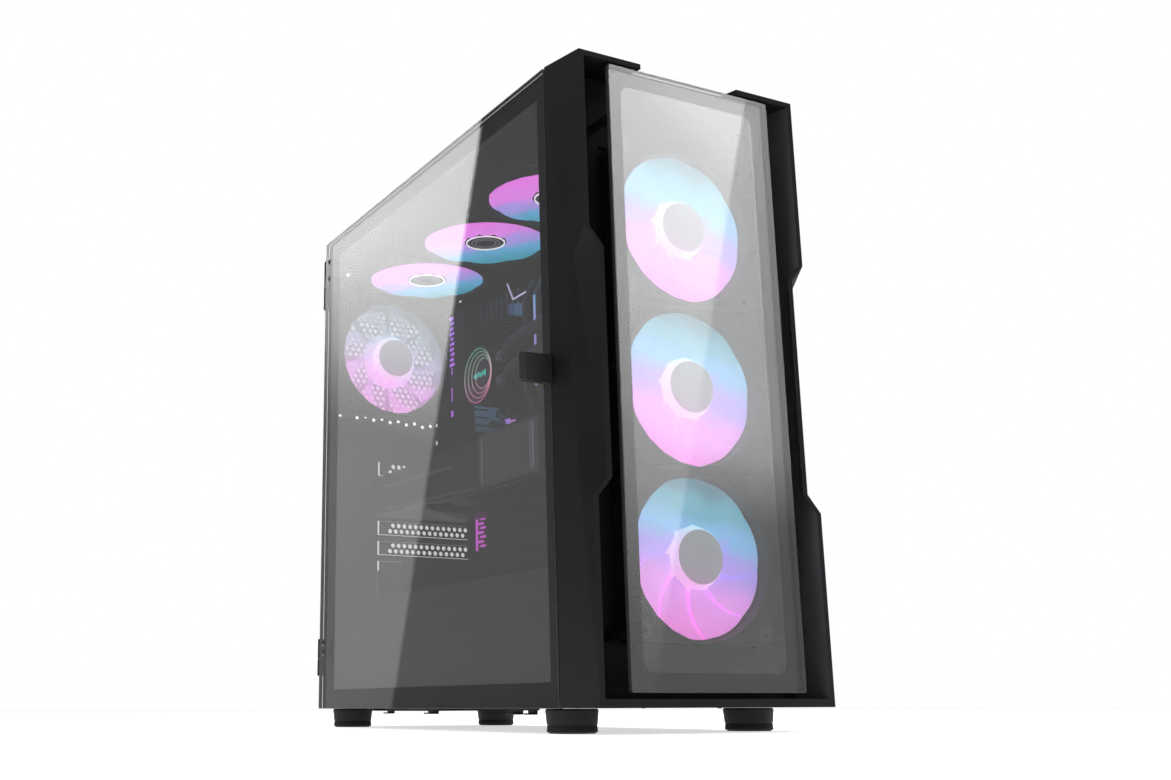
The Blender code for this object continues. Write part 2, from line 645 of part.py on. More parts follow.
def window_grid(x0, y0, x1, y1, columns, rows, bar):
    """Equal windows that fill a rectangle, with bars between and around them."""
    width = (x1 - x0 - (columns + 1) * bar) / columns
    depth = (y1 - y0 - (rows + 1) * bar) / rows
    return [rectangle(x0 + bar + i * (width + bar), y0 + bar + j * (depth + bar),
                      x0 + (i + 1) * (width + bar), y0 + (j + 1) * (depth + bar))
            for i in range(columns) for j in range(rows)]


def top_filter():
    """Magnetic dust filter that lies in the recess of the roof."""
    margin = 0.008
    x0, x1 = TOP_FAN_X - FAN_SIZE / 2 - margin, TOP_FAN_X + FAN_SIZE / 2 + margin
    y0, y1 = TOP_FAN_FRONT_Y - FAN_SIZE / 2 - margin, TOP_FAN_FRONT_Y + 2 * FAN_PITCH + FAN_SIZE / 2 + margin
    y1 = min(y1, REAR - STEEL - GAP)
    bm = bmesh.new()
    slab(bm, rectangle(x0, y0, x1, y1, 0.004), window_grid(x0, y0, x1, y1, 2, 6, 0.007),
         ROOF_Z + STEEL + GAP, TOP, "xy")
    piece("top_filter", bm, FILTER_MESH)


PSU_FILTER_HALF = HALF - FOOT_INSET_X - FOOT_RADIUS - RUNNING_GAP


def psu_filter():
    """Slide-out dust filter under the power supply, with a grip at the rear."""
    x0, x1 = -PSU_FILTER_HALF, PSU_FILTER_HALF
    y0, y1 = REAR - 0.150, REAR - 0.004
    grip, grip_reach = 0.018, 0.007
    outline = [(x0, y0), (x1, y0), (x1, y1), (grip + 0.003, y1), (grip, y1 + grip_reach),
               (-grip, y1 + grip_reach), (-grip - 0.003, y1), (x0, y1)]
    bm = bmesh.new()
    slab(bm, outline, window_grid(x0, y0, x1, y1, 3, 3, 0.008), FLOOR - 0.0024, FLOOR - GAP, "xy")
    piece("psu_filter", bm, FILTER_MESH)


# ---------------------------------------------------------------- door and right panel
HINGE_SPANS = ((0.031, 0.066), (0.403, 0.456))


def side_glass():
    bm = bmesh.new()
    slab(bm, rectangle(SEAM_GAP, FLOOR, REAR, TOP, 0.0015, 2), [], -HALF, -HALF + GLASS, "yz")
    piece("side_glass", bm, TINTED_GLASS)


def door_handle():
    """Pull block on the door's front edge, gripping the glass from outside and inside."""
    z0, z1 = FLOOR + HANDLE_LOW_Z, FLOOR + HANDLE_LOW_Z + HANDLE_HEIGHT
    front, back = -0.0024, 0.0040
    outside = -HALF - GAP
    corner = 0.0030
    bm = bmesh.new()
    outline = [(outside, front), (outside, back)]
    far = -HALF - HANDLE_REACH
    outline += [(far + 0.001, back), (far, back - 0.001), (far, front + corner)]
    for i in range(1, 5):
        angle = math.pi + i / 4 * math.pi / 2
        outline.append((far + corner + corner * math.cos(angle), front + corner + corner * math.sin(angle)))
    slab(bm, outline, [], z0, z1, "xy")
    handle = piece("door_handle", bm, BLACK_PLASTIC)
    grip = bmesh.new()
    web_y0, web_y1 = 0.0002, SEAM_GAP - GAP
    inner = -HALF + GLASS + GAP
    slab(grip, [(outside - 0.001, web_y0), (inner + 0.0015, web_y0), (inner + 0.0015, 0.012), (inner, 0.012),
                (inner, web_y1), (outside - 0.001, web_y1)], [], z0 + 0.002, z1 - 0.002, "xy")
    combine(handle, grip, "UNION")


def door_hinges():
    """A lift-off hinge near each end of the door: leaf bonded inside the glass, knuckle behind it."""
    for name, (low, high) in zip(("door_hinge_lower", "door_hinge_upper"), HINGE_SPANS):
        middle = (low + high) / 2 - 0.002
        z0, z1 = FLOOR + middle + GAP, FLOOR + high
        inner = -HALF + GLASS + GAP
        leaf = 0.0011
        bm = bmesh.new()
        slab(bm, [(inner, 0.418), (inner + leaf, 0.418), (inner + leaf, HINGE_Y - 0.001),
                  (HINGE_X + HINGE_R - 0.0004, HINGE_Y + 0.001), (HINGE_X, HINGE_Y + HINGE_R),
                  (HINGE_X - HINGE_R, HINGE_Y), (HINGE_X - 0.001, REAR + GAP), (inner, REAR + GAP)],
             [], z0, z1, "xy")
        hinge = piece(name, bm, BLACK_STEEL)
        bore = bmesh.new()
        slab(bore, circle(HINGE_X, HINGE_Y, 0.0016, 10), [], z0 - 0.001, z1 - 0.006, "xy")
        combine(hinge, bore, "DIFFERENCE")


def right_side_panel():
    """Plain steel side with a rear flange that two captive thumbscrews hold."""
    bm = bmesh.new()
    slab(bm, rectangle(SEAM_GAP, FLOOR, FLANGE_Y + STEEL, TOP), [], HALF - STEEL, HALF, "yz")
    panel = piece("right_side_panel", bm, BLACK_STEEL)
    flange = bmesh.new()
    holes = [circle(THUMBSCREW_X, FLOOR + z, THUMBSCREW_HOLE_R, 10) for z in THUMBSCREW_HEIGHTS]
    slab(flange, rectangle(HALF - STEEL / 2 - PANEL_FLANGE - STEEL, FLOOR, HALF - STEEL / 2, TOP), holes,
         FLANGE_Y, FLANGE_Y + STEEL, "xz")
    combine(panel, flange, "UNION")


def thumbscrews():
    """Knurled heads with a plain shank through the flange and the rear wall."""
    for name, height in zip(("thumbscrew_lower", "thumbscrew_upper"), THUMBSCREW_HEIGHTS):
        base = FLANGE_Y + STEEL + GAP
        shank = 0.0060
        bm = bmesh.new()
        lathe(bm, [(0, -shank), (0.0016, -shank), (0.0016, 0), (THUMBSCREW_R, 0),
                   (THUMBSCREW_R, THUMBSCREW_LENGTH - 0.001), (THUMBSCREW_R - 0.001, THUMBSCREW_LENGTH),
                   (0, THUMBSCREW_LENGTH)], 16)
        piece(name, bm, BARE_STEEL, (THUMBSCREW_X, base, FLOOR + height), (-math.pi / 2, 0, 0))


# ---------------------------------------------------------------- top sockets and buttons
IO_Y = 0.0155
IO_RIGHT = TRAY_X - 0.0030
IO_LEFT = IO_RIGHT - 0.0840
IO_HALF_DEPTH = 0.0080
USB_SLOTS = (IO_LEFT + 0.0180, IO_LEFT + 0.0380)
POWER_X = IO_RIGHT - 0.0120
RESET_X = IO_RIGHT - 0.0270
POWER_R = 0.0060
RESET_R = 0.0030


def top_controls():
    """Socket strip set in the roof: two USB sockets, an audio jack and two round buttons."""
    top = TOP
    depth = 0.0130
    clear = 0.0004
    outline = rectangle(IO_LEFT + clear, IO_Y - IO_HALF_DEPTH + clear, IO_RIGHT - clear,
                        IO_Y + IO_HALF_DEPTH - clear, 0.003)
    bm = bmesh.new()
    button_gap = 0.0004
    holes = [circle(POWER_X, IO_Y, POWER_R + button_gap, 20), circle(RESET_X, IO_Y, RESET_R + button_gap, 14)]
    slab(bm, outline, holes, top - depth, top, "xy")
    strip = piece("socket_strip", bm, BLACK_PLASTIC)
    sockets = bmesh.new()
    for x in USB_SLOTS:
        block(sockets, (x - USB_WIDTH / 2, IO_Y - USB_HEIGHT / 2, top - 0.011),
              (x + USB_WIDTH / 2, IO_Y + USB_HEIGHT / 2, top + 0.002))
    slab(sockets, circle(IO_LEFT + 0.0060, IO_Y, 0.0018, 10), [], top - 0.011, top + 0.002, "xy")
    combine(strip, sockets, "DIFFERENCE")
    buttons = (("power_button", POWER_X, POWER_R, 20), ("reset_button", RESET_X, RESET_R, 14))
    for name, x, radius, segments in buttons:
        bm = bmesh.new()
        lathe(bm, [(0, -0.008), (radius, -0.008), (radius, -0.0006), (radius - 0.0006, 0), (0, 0)], segments)
        piece(name, bm, BARE_STEEL, (x, IO_Y, top))


# ---------------------------------------------------------------- main board and what stands on it
PUMP_Y = BOARD_Y1 - 0.1030
PUMP_Z = BOARD_LOW_Z + 0.2150
PUMP_R = 0.0300
PUMP_FACE_X = BOARD_X - 0.0515
CARD_EDGE_X = BOARD_X - 0.0118
# Height above the board, then the corners measured from the board's lower front corner.
POWER_SOCKET = (0.012, (0.001, 0.157), (0.011, 0.209))
DATA_SOCKETS = (0.010, (0.001, 0.045), (0.012, 0.075))
CABLE_HEADERS = (0.012, (0.060, 0.001), (0.110, 0.009))


def motherboard():
    """Main board with its card slots, memory slots, power socket and connectors."""
    bm = bmesh.new()
    block(bm, (BOARD_X, BOARD_Y0, BOARD_Z0), (BOARD_X + BOARD_THICKNESS, BOARD_Y1, BOARD_Z1))
    board = piece("motherboard", bm, BOARD_BLACK)
    extras = bmesh.new()
    sink = BOARD_THICKNESS / 2
    face = BOARD_X + sink
    for number, height in ((CARD_SLOT, 0.0110), (3, 0.0110), (1, 0.0110)):
        z = slot_z(number) + 0.004
        block(extras, (BOARD_X - height, REAR - 0.150, z - 0.0035), (face, REAR - 0.060, z + 0.0035))
    for i in range(4):
        y = MEMORY_Y - i * MEMORY_PITCH
        block(extras, (BOARD_X - 0.0065, y - 0.0032, MEMORY_Z0), (face, y + 0.0032, MEMORY_Z1))
    for height, low, high in (POWER_SOCKET, DATA_SOCKETS, CABLE_HEADERS):
        block(extras, (BOARD_X - height, BOARD_Y0 + low[0], BOARD_Z0 + low[1]),
              (face, BOARD_Y0 + high[0], BOARD_Z0 + high[1]))
    combine(board, extras, "UNION")


MEMORY_Y = BOARD_Y0 + 0.0680
MEMORY_PITCH = 0.0098
MEMORY_Z0 = BOARD_Z0 + 0.1600
MEMORY_Z1 = MEMORY_Z0 + 0.1330
MEMORY_REACH = 0.0400


def memory_modules():
    """Two memory modules in heat spreaders, in the second and fourth slots."""
    for name, i in (("memory_1", 1), ("memory_2", 3)):
        y = MEMORY_Y - i * MEMORY_PITCH
        x1 = BOARD_X - 0.0065 - GAP
        z0, z1 = MEMORY_Z0 + 0.001, MEMORY_Z1 - 0.001
        x0, chamfer_x, chamfer_z = x1 - MEMORY_REACH, 0.010, 0.021
        crest = [(x1, z0), (x1, z1), (x0 + chamfer_x, z1),
                 (x0, z1 - chamfer_z), (x0, z0 + chamfer_z), (x0 + chamfer_x, z0)]
        bm = bmesh.new()
        slab(bm, crest, [], y - 0.0036, y + 0.0036, "xz")
        piece(name, bm, ALUMINIUM)


def io_cover():
    """Angular cover over the board's rear sockets."""
    x0, x1 = REAR_FAN_X + FAN_SIZE / 2 + 2 * GAP, BOARD_X - GAP
    z0, z1 = FLOOR + IO_LOW - 0.004, BOARD_Z1 - 0.003
    bm = bmesh.new()
    profile = [(x0 + 0.006, REAR - 0.052), (x1, REAR - 0.058), (x1, REAR_INSIDE - 0.004),
               (x0, REAR_INSIDE - 0.004), (x0, REAR - 0.046)]
    slab(bm, profile, [], z0, z1, "xy")
    cover = piece("io_cover", bm, BLACK_PLASTIC)
    plate = bmesh.new()
    block(plate, (x0, REAR_INSIDE - 0.006, FLOOR + IO_LOW + GAP),
          (IO_LEFT_X + IO_WIDTH - GAP, REAR - STEEL / 2, FLOOR + IO_LOW + IO_HEIGHT - GAP))
    combine(cover, plate, "UNION")
    sockets = bmesh.new()
    for x, z, width, height in REAR_SOCKETS:
        block(sockets, (x - width / 2, REAR - 0.012, z - height / 2),
              (x + width / 2, REAR + 0.001, z + height / 2))
    combine(cover, sockets, "DIFFERENCE")


def heatsinks():
    """Finned heatsink above the processor, bolted to the board."""
    x0, x1 = BOARD_X - 0.0275, BOARD_X - GAP
    y0, y1 = PUMP_Y - 0.045, PUMP_Y + 0.040
    z0, z1 = BOARD_Z1 - 0.032, BOARD_Z1 - 0.006
    base = 0.007
    fins = 8
    pitch = (y1 - y0) / fins
    outline = [(x1, y0), (x1, y1)]
    for i in reversed(range(fins)):
        low = y0 + i * pitch
        outline += [(x0, low + pitch * 0.75), (x0, low + pitch * 0.25)]
        if i:
            outline += [(x1 - base, low + pitch * 0.25 - 0.0002), (x1 - base, low - pitch * 0.25 + 0.0002)]
    bm = bmesh.new()
    slab(bm, outline, [], z0, z1, "xy")
    piece("board_heatsink", bm, ALUMINIUM)


def pump_head():
    """Round liquid-cooler head standing on the processor, with a square foot and two hose stubs."""
    depth = BOARD_X - GAP - PUMP_FACE_X
    bm = bmesh.new()
    lathe(bm, [(0, 0), (PUMP_R + 0.004, 0), (PUMP_R + 0.004, 0.008), (PUMP_R, 0.012),
               (PUMP_R, depth - 0.0015), (PUMP_R - 0.0015, depth), (0, depth)], 28)
    bmesh.ops.rotate(bm, verts=bm.verts, cent=(0, 0, 0), matrix=Matrix.Rotation(-math.pi / 2, 3, "Y"))
    bmesh.ops.translate(bm, verts=bm.verts, vec=(BOARD_X - GAP, PUMP_Y, FLOOR + PUMP_Z))
    head = piece("pump_head", bm, BLACK_PLASTIC)
    stubs = bmesh.new()
    side_y = PUMP_Y - PUMP_R
    for rise in HOSE_RISES:
        slab(stubs, circle(HOSE_X, FLOOR + PUMP_Z + rise, HOSE_R - 0.0007, 12), [],
             side_y - HOSE_STUB, side_y + HOSE_STUB, "xz")
    combine(head, stubs, "UNION")


HOSE_X = BOARD_X - 0.0425
HOSE_RISES = (0.0120, -0.0120)
HOSE_R = 0.0055
HOSE_STUB = 0.0100
TANK_Y = TOP_FAN_FRONT_Y - FAN_SIZE / 2 - 0.0175
HOSE_TANK_XS = (TOP_FAN_X - 0.0114, TOP_FAN_X + 0.0186)


def smooth_route(points, count):
    """Even points along a smooth curve through the given ones."""
    padded = [2 * points[0] - points[1]] + points + [2 * points[-1] - points[-2]]
    spans = len(points) - 1
    route = []
    for step in range(count + 1):
        place = step / count * spans
        i = min(int(place), spans - 1)
        t = place - i
        a, b, c, d = padded[i:i + 4]
        route.append(0.5 * ((2 * b) + (c - a) * t + (2 * a - 5 * b + 4 * c - d) * t * t
                            + (3 * b - a - 3 * c + d) * t ** 3))
    return route


def cooler_hoses():
    """Two sleeved hoses from the pump head up to the radiator's front tank."""
    start_y = PUMP_Y - PUMP_R - HOSE_STUB - GAP
    end_z = RADIATOR_LOW - HOSE_STUB - GAP
    for name, rise, tank_x in zip(("cooler_hose_1", "cooler_hose_2"), HOSE_RISES, HOSE_TANK_XS):
        z = FLOOR + PUMP_Z + rise
        points = [Vector((HOSE_X, start_y, z)), Vector((HOSE_X, start_y - 0.004, z)),
                  Vector((HOSE_X - 0.019, start_y - 0.042, z)),
                  Vector((HOSE_X - 0.032, BOARD_Y0 - 0.024, z)),
                  Vector((0.7 * tank_x, TANK_Y + 0.030, z + 0.030)),
                  Vector((tank_x, TANK_Y, end_z - 0.014)), Vector((tank_x, TANK_Y, end_z))]
        curve = bpy.data.curves.new(name, "CURVE")
        curve.dimensions = "3D"
        curve.bevel_depth = HOSE_R
        curve.bevel_resolution = 1
        curve.use_fill_caps = True
        route = [points[0]] + smooth_route(points[1:-1], 18) + [points[-1]]
        spline = curve.splines.new("POLY")
        spline.points.add(len(route) - 1)
        for point, where in zip(spline.points, route):
            point.co = (*where, 1.0)
        curve.materials.append(RUBBER)
        obj = bpy.data.objects.new(name, curve)
        obj.parent = CASE
        bpy.context.scene.collection.objects.link(obj)


def radiator():
    """Radiator under the roof: finned core, a tank at each end and two hose stubs."""
    x0, x1 = TOP_FAN_X - FAN_SIZE / 2 + 0.0005, TOP_FAN_X + FAN_SIZE / 2 - 0.0005
    y0, y1 = TANK_Y - 0.017, REAR_INSIDE - 0.0016
    tank_y1 = TANK_Y + 0.016
    bm = bmesh.new()
    z0, z1 = RADIATOR_LOW, ROOF_Z - GAP
    inset = 0.0015
    slab(bm, [(y0, z0), (tank_y1, z0), (tank_y1, z0 + inset), (y1 - 0.010, z0 + inset), (y1 - 0.010, z0),
              (y1, z0), (y1, z1), (y0, z1)], [], x0, x1, "yz")
    core = piece("radiator", bm, ALUMINIUM)
    stubs = bmesh.new()
    for x in HOSE_TANK_XS:
        slab(stubs, circle(x, TANK_Y, HOSE_R - 0.0007, 12), [], z0 - HOSE_STUB, z0 + 0.004, "xy")
    combine(core, stubs, "UNION")


# ---------------------------------------------------------------- graphics card
CARD_FAN_R = 0.0400
CARD_FAN_DEPTH = 0.0110
CARD_TOP_Z = FLOOR + SLOT_LOW_Z + CARD_SLOT * SLOT_PITCH + 0.0075
CARD_FRONT_LOW = CARD_TOP_Z - 0.0465
CARD_REAR_LOW = CARD_TOP_Z - 0.0380
CARD_FAN_LOW = CARD_REAR_LOW + 0.0015
CARD_NOSE = 0.1050
CARD_NOSE_PROUD = 0.0040
CARD_END_Y = REAR_INSIDE - GAP
CARD_FRONT_Y = CARD_END_Y - CARD_LENGTH


def card_fan_x():
    return (CARD_LEFT_X + CARD_EDGE_X) / 2 + 0.002


def card_fan_places():
    spacing = 2 * CARD_FAN_R + 0.008
    return [CARD_FRONT_Y + CARD_FAN_R + 0.010 + i * spacing for i in range(3)]


def graphics_card():
    """Card in a stepped shroud, three fan wells below and its rear bracket in the card slots."""
    x0, x1 = CARD_LEFT_X + CARD_NOSE_PROUD, CARD_EDGE_X - GAP
    nose_y = CARD_FRONT_Y + CARD_NOSE
    rear_y = CARD_END_Y - 0.0016
    bm = bmesh.new()
    slab(bm, [(CARD_FRONT_Y, CARD_FRONT_LOW), (nose_y, CARD_FRONT_LOW), (nose_y + 0.130, CARD_REAR_LOW),
              (rear_y, CARD_REAR_LOW), (rear_y, CARD_TOP_Z), (CARD_FRONT_Y, CARD_TOP_Z)], [], x0, x1, "yz")
    card = piece("graphics_card", bm, BLACK_PLASTIC)
    nose = bmesh.new()
    block(nose, (CARD_LEFT_X, CARD_FRONT_Y - 0.001, CARD_FRONT_LOW + 0.001),
          (x0 + 0.006, nose_y - 0.002, CARD_TOP_Z + 0.0025))
    combine(card, nose, "UNION")
    bracket = bmesh.new()
    lap = SLOT_OPEN / 2 + 0.001
    block(bracket, (SLOT_LEFT_X + 0.0016, CARD_END_Y - STEEL - 0.001, slot_z(CARD_SLOT - 1) - lap),
          (SLOT_RIGHT_X, CARD_END_Y, slot_z(CARD_SLOT) + lap))
    combine(card, bracket, "UNION")
    wells = bmesh.new()
    for y in card_fan_places():
        slab(wells, circle(card_fan_x(), y, CARD_FAN_R + 0.0015, 24), [], CARD_FRONT_LOW - 0.002,
             CARD_FAN_LOW + CARD_FAN_DEPTH + 0.001, "xy")
    combine(card, wells, "DIFFERENCE")
    rotor = rotor_mesh("card_rotor", 0.0125, CARD_FAN_R, CARD_FAN_DEPTH, 5, BLACK_PLASTIC, 12)
    for number, y in enumerate(card_fan_places()):
        place_mesh("card_fan_%d" % (number + 1), rotor, BLACK_PLASTIC,
                   (card_fan_x(), y, CARD_FAN_LOW + CARD_FAN_DEPTH), (math.pi, 0, 0))


# ---------------------------------------------------------------- power supply and drives
PSU_FAN_R = 0.0550
PSU_FAN_DEPTH = 0.0150
INLET_X = -0.0500
INLET_W = 0.0250
INLET_H = 0.0175
INLET_DEPTH = 0.0150
SWITCH_X = -0.0235
SWITCH_W = 0.0130
SWITCH_H = 0.0190


def power_supply():
    """Steel box with a fan well below, a mains socket and a rocker switch at the rear."""
    z0 = FLOOR + STEEL + GAP + 0.0008
    z1 = z0 + PSU_HEIGHT
    y1 = REAR_INSIDE - GAP
    y0 = y1 - PSU_LENGTH
    inlet_z = z0 + PSU_HEIGHT * 0.62
    bm = bmesh.new()
    block(bm, (-PSU_WIDTH / 2, y0, z0), (PSU_WIDTH / 2, y1, z1))
    box = piece("power_supply", bm, BLACK_STEEL)
    cuts = bmesh.new()
    fan_y = y0 + PSU_LENGTH / 2
    slab(cuts, circle(0, fan_y, PSU_FAN_R + 0.002, 28), [], z0 - 0.001, z0 + PSU_FAN_DEPTH + 0.004, "xy")
    block(cuts, (INLET_X - INLET_W / 2, y1 - INLET_DEPTH, inlet_z - INLET_H / 2),
          (INLET_X + INLET_W / 2, y1 + 0.001, inlet_z + INLET_H / 2))
    block(cuts, (SWITCH_X - SWITCH_W / 2 - 0.0006, y1 - 0.012, inlet_z - SWITCH_H / 2 - 0.0006),
          (SWITCH_X + SWITCH_W / 2 + 0.0006, y1 + 0.001, inlet_z + SWITCH_H / 2 + 0.0006))
    combine(box, cuts, "DIFFERENCE")
    rotor = rotor_mesh("psu_rotor", 0.0180, PSU_FAN_R, PSU_FAN_DEPTH, 5, BLACK_PLASTIC, 12)
    place_mesh("psu_fan", rotor, BLACK_PLASTIC, (0, fan_y, z0 + PSU_FAN_DEPTH + 0.0025), (math.pi, 0, 0))

    rocker = bmesh.new()
    half_h, half_w = SWITCH_H / 2, SWITCH_W / 2
    slab(rocker, [(-0.0070, -half_h * 0.55), (0.0005, -half_h), (-0.0002, 0), (0.0025, half_h),
                  (-0.0060, half_h * 0.75)],
         [], -half_w, half_w, "yz")
    piece("psu_switch", rocker, BLACK_PLASTIC, (SWITCH_X, y1 - 0.0035, inlet_z))


DRIVE_Y = 0.1300
DRIVE_WIDTH = 0.1016
DRIVE_LENGTH = 0.1470
DRIVE_HEIGHT = 0.0261
DRIVE_CLEAR = 0.0030
CAGE_HIGH = FLOOR + SHROUD_TOP_Z - STEEL - GAP - 0.004


def drive_cage():
    """Open-sided cage under the shroud, and the hard disk that lies in it."""
    half = DRIVE_WIDTH / 2 + DRIVE_CLEAR
    z0 = FLOOR + STEEL + GAP
    z1 = CAGE_HIGH
    shelf = 0.0010
    middle = (z0 + z1) / 2
    outer = rectangle(DRIVE_Y - half - shelf, z0, DRIVE_Y + half + shelf, z1)
    windows = [rectangle(DRIVE_Y - half, z0 + shelf, DRIVE_Y + half, middle - shelf / 2),
               rectangle(DRIVE_Y - half, middle + shelf / 2, DRIVE_Y + half, z1 - shelf)]
    bm = bmesh.new()
    slab(bm, outer, windows, SHROUD_LEFT_X + 0.012, TRAY_X - GAP, "yz")
    piece("drive_cage", bm, BLACK_STEEL)
    bm = bmesh.new()
    drive_x = SHROUD_LEFT_X + 0.015
    block(bm, (drive_x, DRIVE_Y - DRIVE_WIDTH / 2, z0 + shelf + GAP),
          (drive_x + DRIVE_LENGTH, DRIVE_Y + DRIVE_WIDTH / 2, z0 + shelf + GAP + DRIVE_HEIGHT))
    piece("hard_disk", bm, ALUMINIUM)


# ---------------------------------------------------------------- assembly
front_bezel()
front_glass()
glass_carrier()
front_wall()
base_pan()
feet()
rear_panel()
rear_fan_grille()
slot_covers()
motherboard_tray()
psu_shroud()
roof()
top_filter()
psu_filter()
side_glass()
door_handle()
door_hinges()
right_side_panel()
thumbscrews()
top_controls()
case_fans()
motherboard()
memory_modules()
io_cover()
heatsinks()
pump_head()
cooler_hoses()
radiator()
graphics_card()
power_supply()
drive_cage()
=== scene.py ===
"""Desktop computer tower: a black steel case with a smoked glass door, a glass front and lit fans.

Lengths are in metres.  Places are given in the case's own frame: x to the right of the case's
middle, y back from the seam behind the front bezel, z up from the desk.
"""
import json
import math

import bmesh
import bpy
from mathutils import Matrix, Vector
from mathutils.geometry import tessellate_polygon

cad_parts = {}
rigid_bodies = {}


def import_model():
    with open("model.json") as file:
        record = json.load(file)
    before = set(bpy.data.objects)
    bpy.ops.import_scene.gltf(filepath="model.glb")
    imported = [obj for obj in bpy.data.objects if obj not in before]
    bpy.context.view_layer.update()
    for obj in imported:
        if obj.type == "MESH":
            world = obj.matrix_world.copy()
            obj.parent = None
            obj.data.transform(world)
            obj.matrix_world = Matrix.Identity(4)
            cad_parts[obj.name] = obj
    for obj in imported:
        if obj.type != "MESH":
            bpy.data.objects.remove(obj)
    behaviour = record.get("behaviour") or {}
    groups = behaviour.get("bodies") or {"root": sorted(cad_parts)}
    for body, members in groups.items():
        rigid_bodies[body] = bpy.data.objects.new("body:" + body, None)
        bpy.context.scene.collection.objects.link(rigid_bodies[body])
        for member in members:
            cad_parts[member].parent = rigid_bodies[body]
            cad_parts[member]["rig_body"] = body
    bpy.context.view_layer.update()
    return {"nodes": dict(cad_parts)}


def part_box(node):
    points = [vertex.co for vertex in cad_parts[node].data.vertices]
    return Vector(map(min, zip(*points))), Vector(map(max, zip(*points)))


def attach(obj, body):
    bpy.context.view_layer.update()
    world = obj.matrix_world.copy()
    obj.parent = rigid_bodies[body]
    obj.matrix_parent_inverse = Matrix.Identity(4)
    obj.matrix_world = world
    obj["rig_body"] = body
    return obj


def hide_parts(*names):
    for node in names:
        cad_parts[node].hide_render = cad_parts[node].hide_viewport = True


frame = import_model()

# ------------------------------------------------------------------ where the case stands
# The seam between the bezel and the body is the maker's datum. The bezel is as wide as the case,
# so its middle gives the case's middle, and the glass door starts 2 mm behind the seam.
bezel_low, bezel_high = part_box("front_bezel")
door_low, door_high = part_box("side_glass")
seam = Vector(((bezel_low.x + bezel_high.x) / 2, door_low.y - 0.002, 0.0))
half_width = (bezel_high.x - bezel_low.x) / 2
body_low = door_low.z
body_rear = door_high.y - seam.y


def case_box(node):
    """A CAD node's lowest and highest corner in the case's frame."""
    low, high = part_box(node)
    return low - seam, high - seam


# ------------------------------------------------------------------ camera, floor and light
# A low three-quarter view from the front left, on a pale seamless floor with soft studio boxes.
# Four glowing cards that only the glass sees give the door and the front their slanted highlights.
view = bpy.context.scene.view_settings
view.view_transform = "Standard"

yaw, pitch, roll = 0.4719, 0.2385, -0.0038
forward = Vector((math.sin(yaw) * math.cos(pitch), math.cos(yaw) * math.cos(pitch), math.sin(pitch)))
level = Vector((math.cos(yaw), -math.sin(yaw), 0.0))
right = level * math.cos(roll) + level.cross(forward) * math.sin(roll)
upward = right.cross(forward)
camera_data = bpy.data.cameras.new("studio_camera")
camera_data.lens = 39.61
camera_data.shift_x = 0.1287
camera_data.shift_y = 0.0024
camera_data.clip_start = 0.01
camera_data.clip_end = 60.0
camera = bpy.data.objects.new("studio_camera", camera_data)
camera_place = seam + Vector((-0.5805, -0.7573, 0.0188))
camera.matrix_world = (Matrix.Translation(camera_place)
                       @ Matrix((right, upward, -forward)).transposed().to_4x4())
bpy.context.scene.collection.objects.link(camera)
bpy.context.scene.camera = camera

world = bpy.data.worlds.new("studio")
bpy.context.scene.world = world
world.use_nodes = True
world_nodes, world_links = world.node_tree.nodes, world.node_tree.links
sky = world_nodes["Background"]
seen_sky = world_nodes.new("ShaderNodeBackground")
sky_mix = world_nodes.new("ShaderNodeMixShader")
sky_path = world_nodes.new("ShaderNodeLightPath")
sky.inputs["Color"].default_value = (0.80, 0.82, 0.86, 1.0)
sky.inputs["Strength"].default_value = 0.45
seen_sky.inputs["Color"].default_value = (1.0, 1.0, 1.0, 1.0)
seen_sky.inputs["Strength"].default_value = 1.0
world_links.new(sky_path.outputs["Is Camera Ray"], sky_mix.inputs["Fac"])
world_links.new(sky.outputs["Background"], sky_mix.inputs[1])
world_links.new(seen_sky.outputs["Background"], sky_mix.inputs[2])
world_links.new(sky_mix.outputs["Shader"], world_nodes["World Output"].inputs["Surface"])


def soft_box(name, place, target, width, height, watts):
    """A rectangular studio lamp that shines from place at target and isn't seen in reflections."""
    data = bpy.data.lights.new(name, "AREA")
    data.shape = "RECTANGLE"
    data.size = width
    data.size_y = height
    data.energy = watts
    lamp = bpy.data.objects.new(name, data)
    lamp.location = seam + Vector(place)
    lamp.rotation_euler = (seam + Vector(target) - lamp.location).to_track_quat("-Z", "Y").to_euler()
    lamp.visible_glossy = False
    bpy.context.scene.collection.objects.link(lamp)


soft_box("top_box", (0.3, -0.4, 2.2), (0, 0.1, 0.3), 2.0, 2.0, 26)
soft_box("front_box", (0.9, -2.2, 1.0), (0, 0, 0.25), 1.2, 1.6, 22)
soft_box("left_box", (-2.2, -0.3, 1.2), (0, 0.2, 0.25), 1.2, 1.2, 6)
soft_box("back_box", (0.4, 2.4, 1.4), (0, 0.4, 0.25), 1.6, 1.2, 24)

floor_mesh = bpy.data.meshes.new("floor")
floor_bm = bmesh.new()
bmesh.ops.create_circle(floor_bm, cap_ends=True, radius=9.0, segments=64)
floor_bm.to_mesh(floor_mesh)
floor_bm.free()
floor = bpy.data.objects.new("floor", floor_mesh)
bpy.context.scene.collection.objects.link(floor)
floor_paint = bpy.data.materials.new("floor_paint")
floor_paint.use_nodes = True
floor_shader = floor_paint.node_tree.nodes["Principled BSDF"]
floor_shader.inputs["Base Color"].default_value = (0.93, 0.93, 0.93, 1.0)
floor_shader.inputs["Roughness"].default_value = 0.9
floor_shader.inputs["Specular IOR Level"].default_value = 0.1
floor_shader.inputs["Emission Color"].default_value = (1.0, 1.0, 1.0, 1.0)
floor_shader.inputs["Emission Strength"].default_value = 0.62
floor_mesh.materials.append(floor_paint)


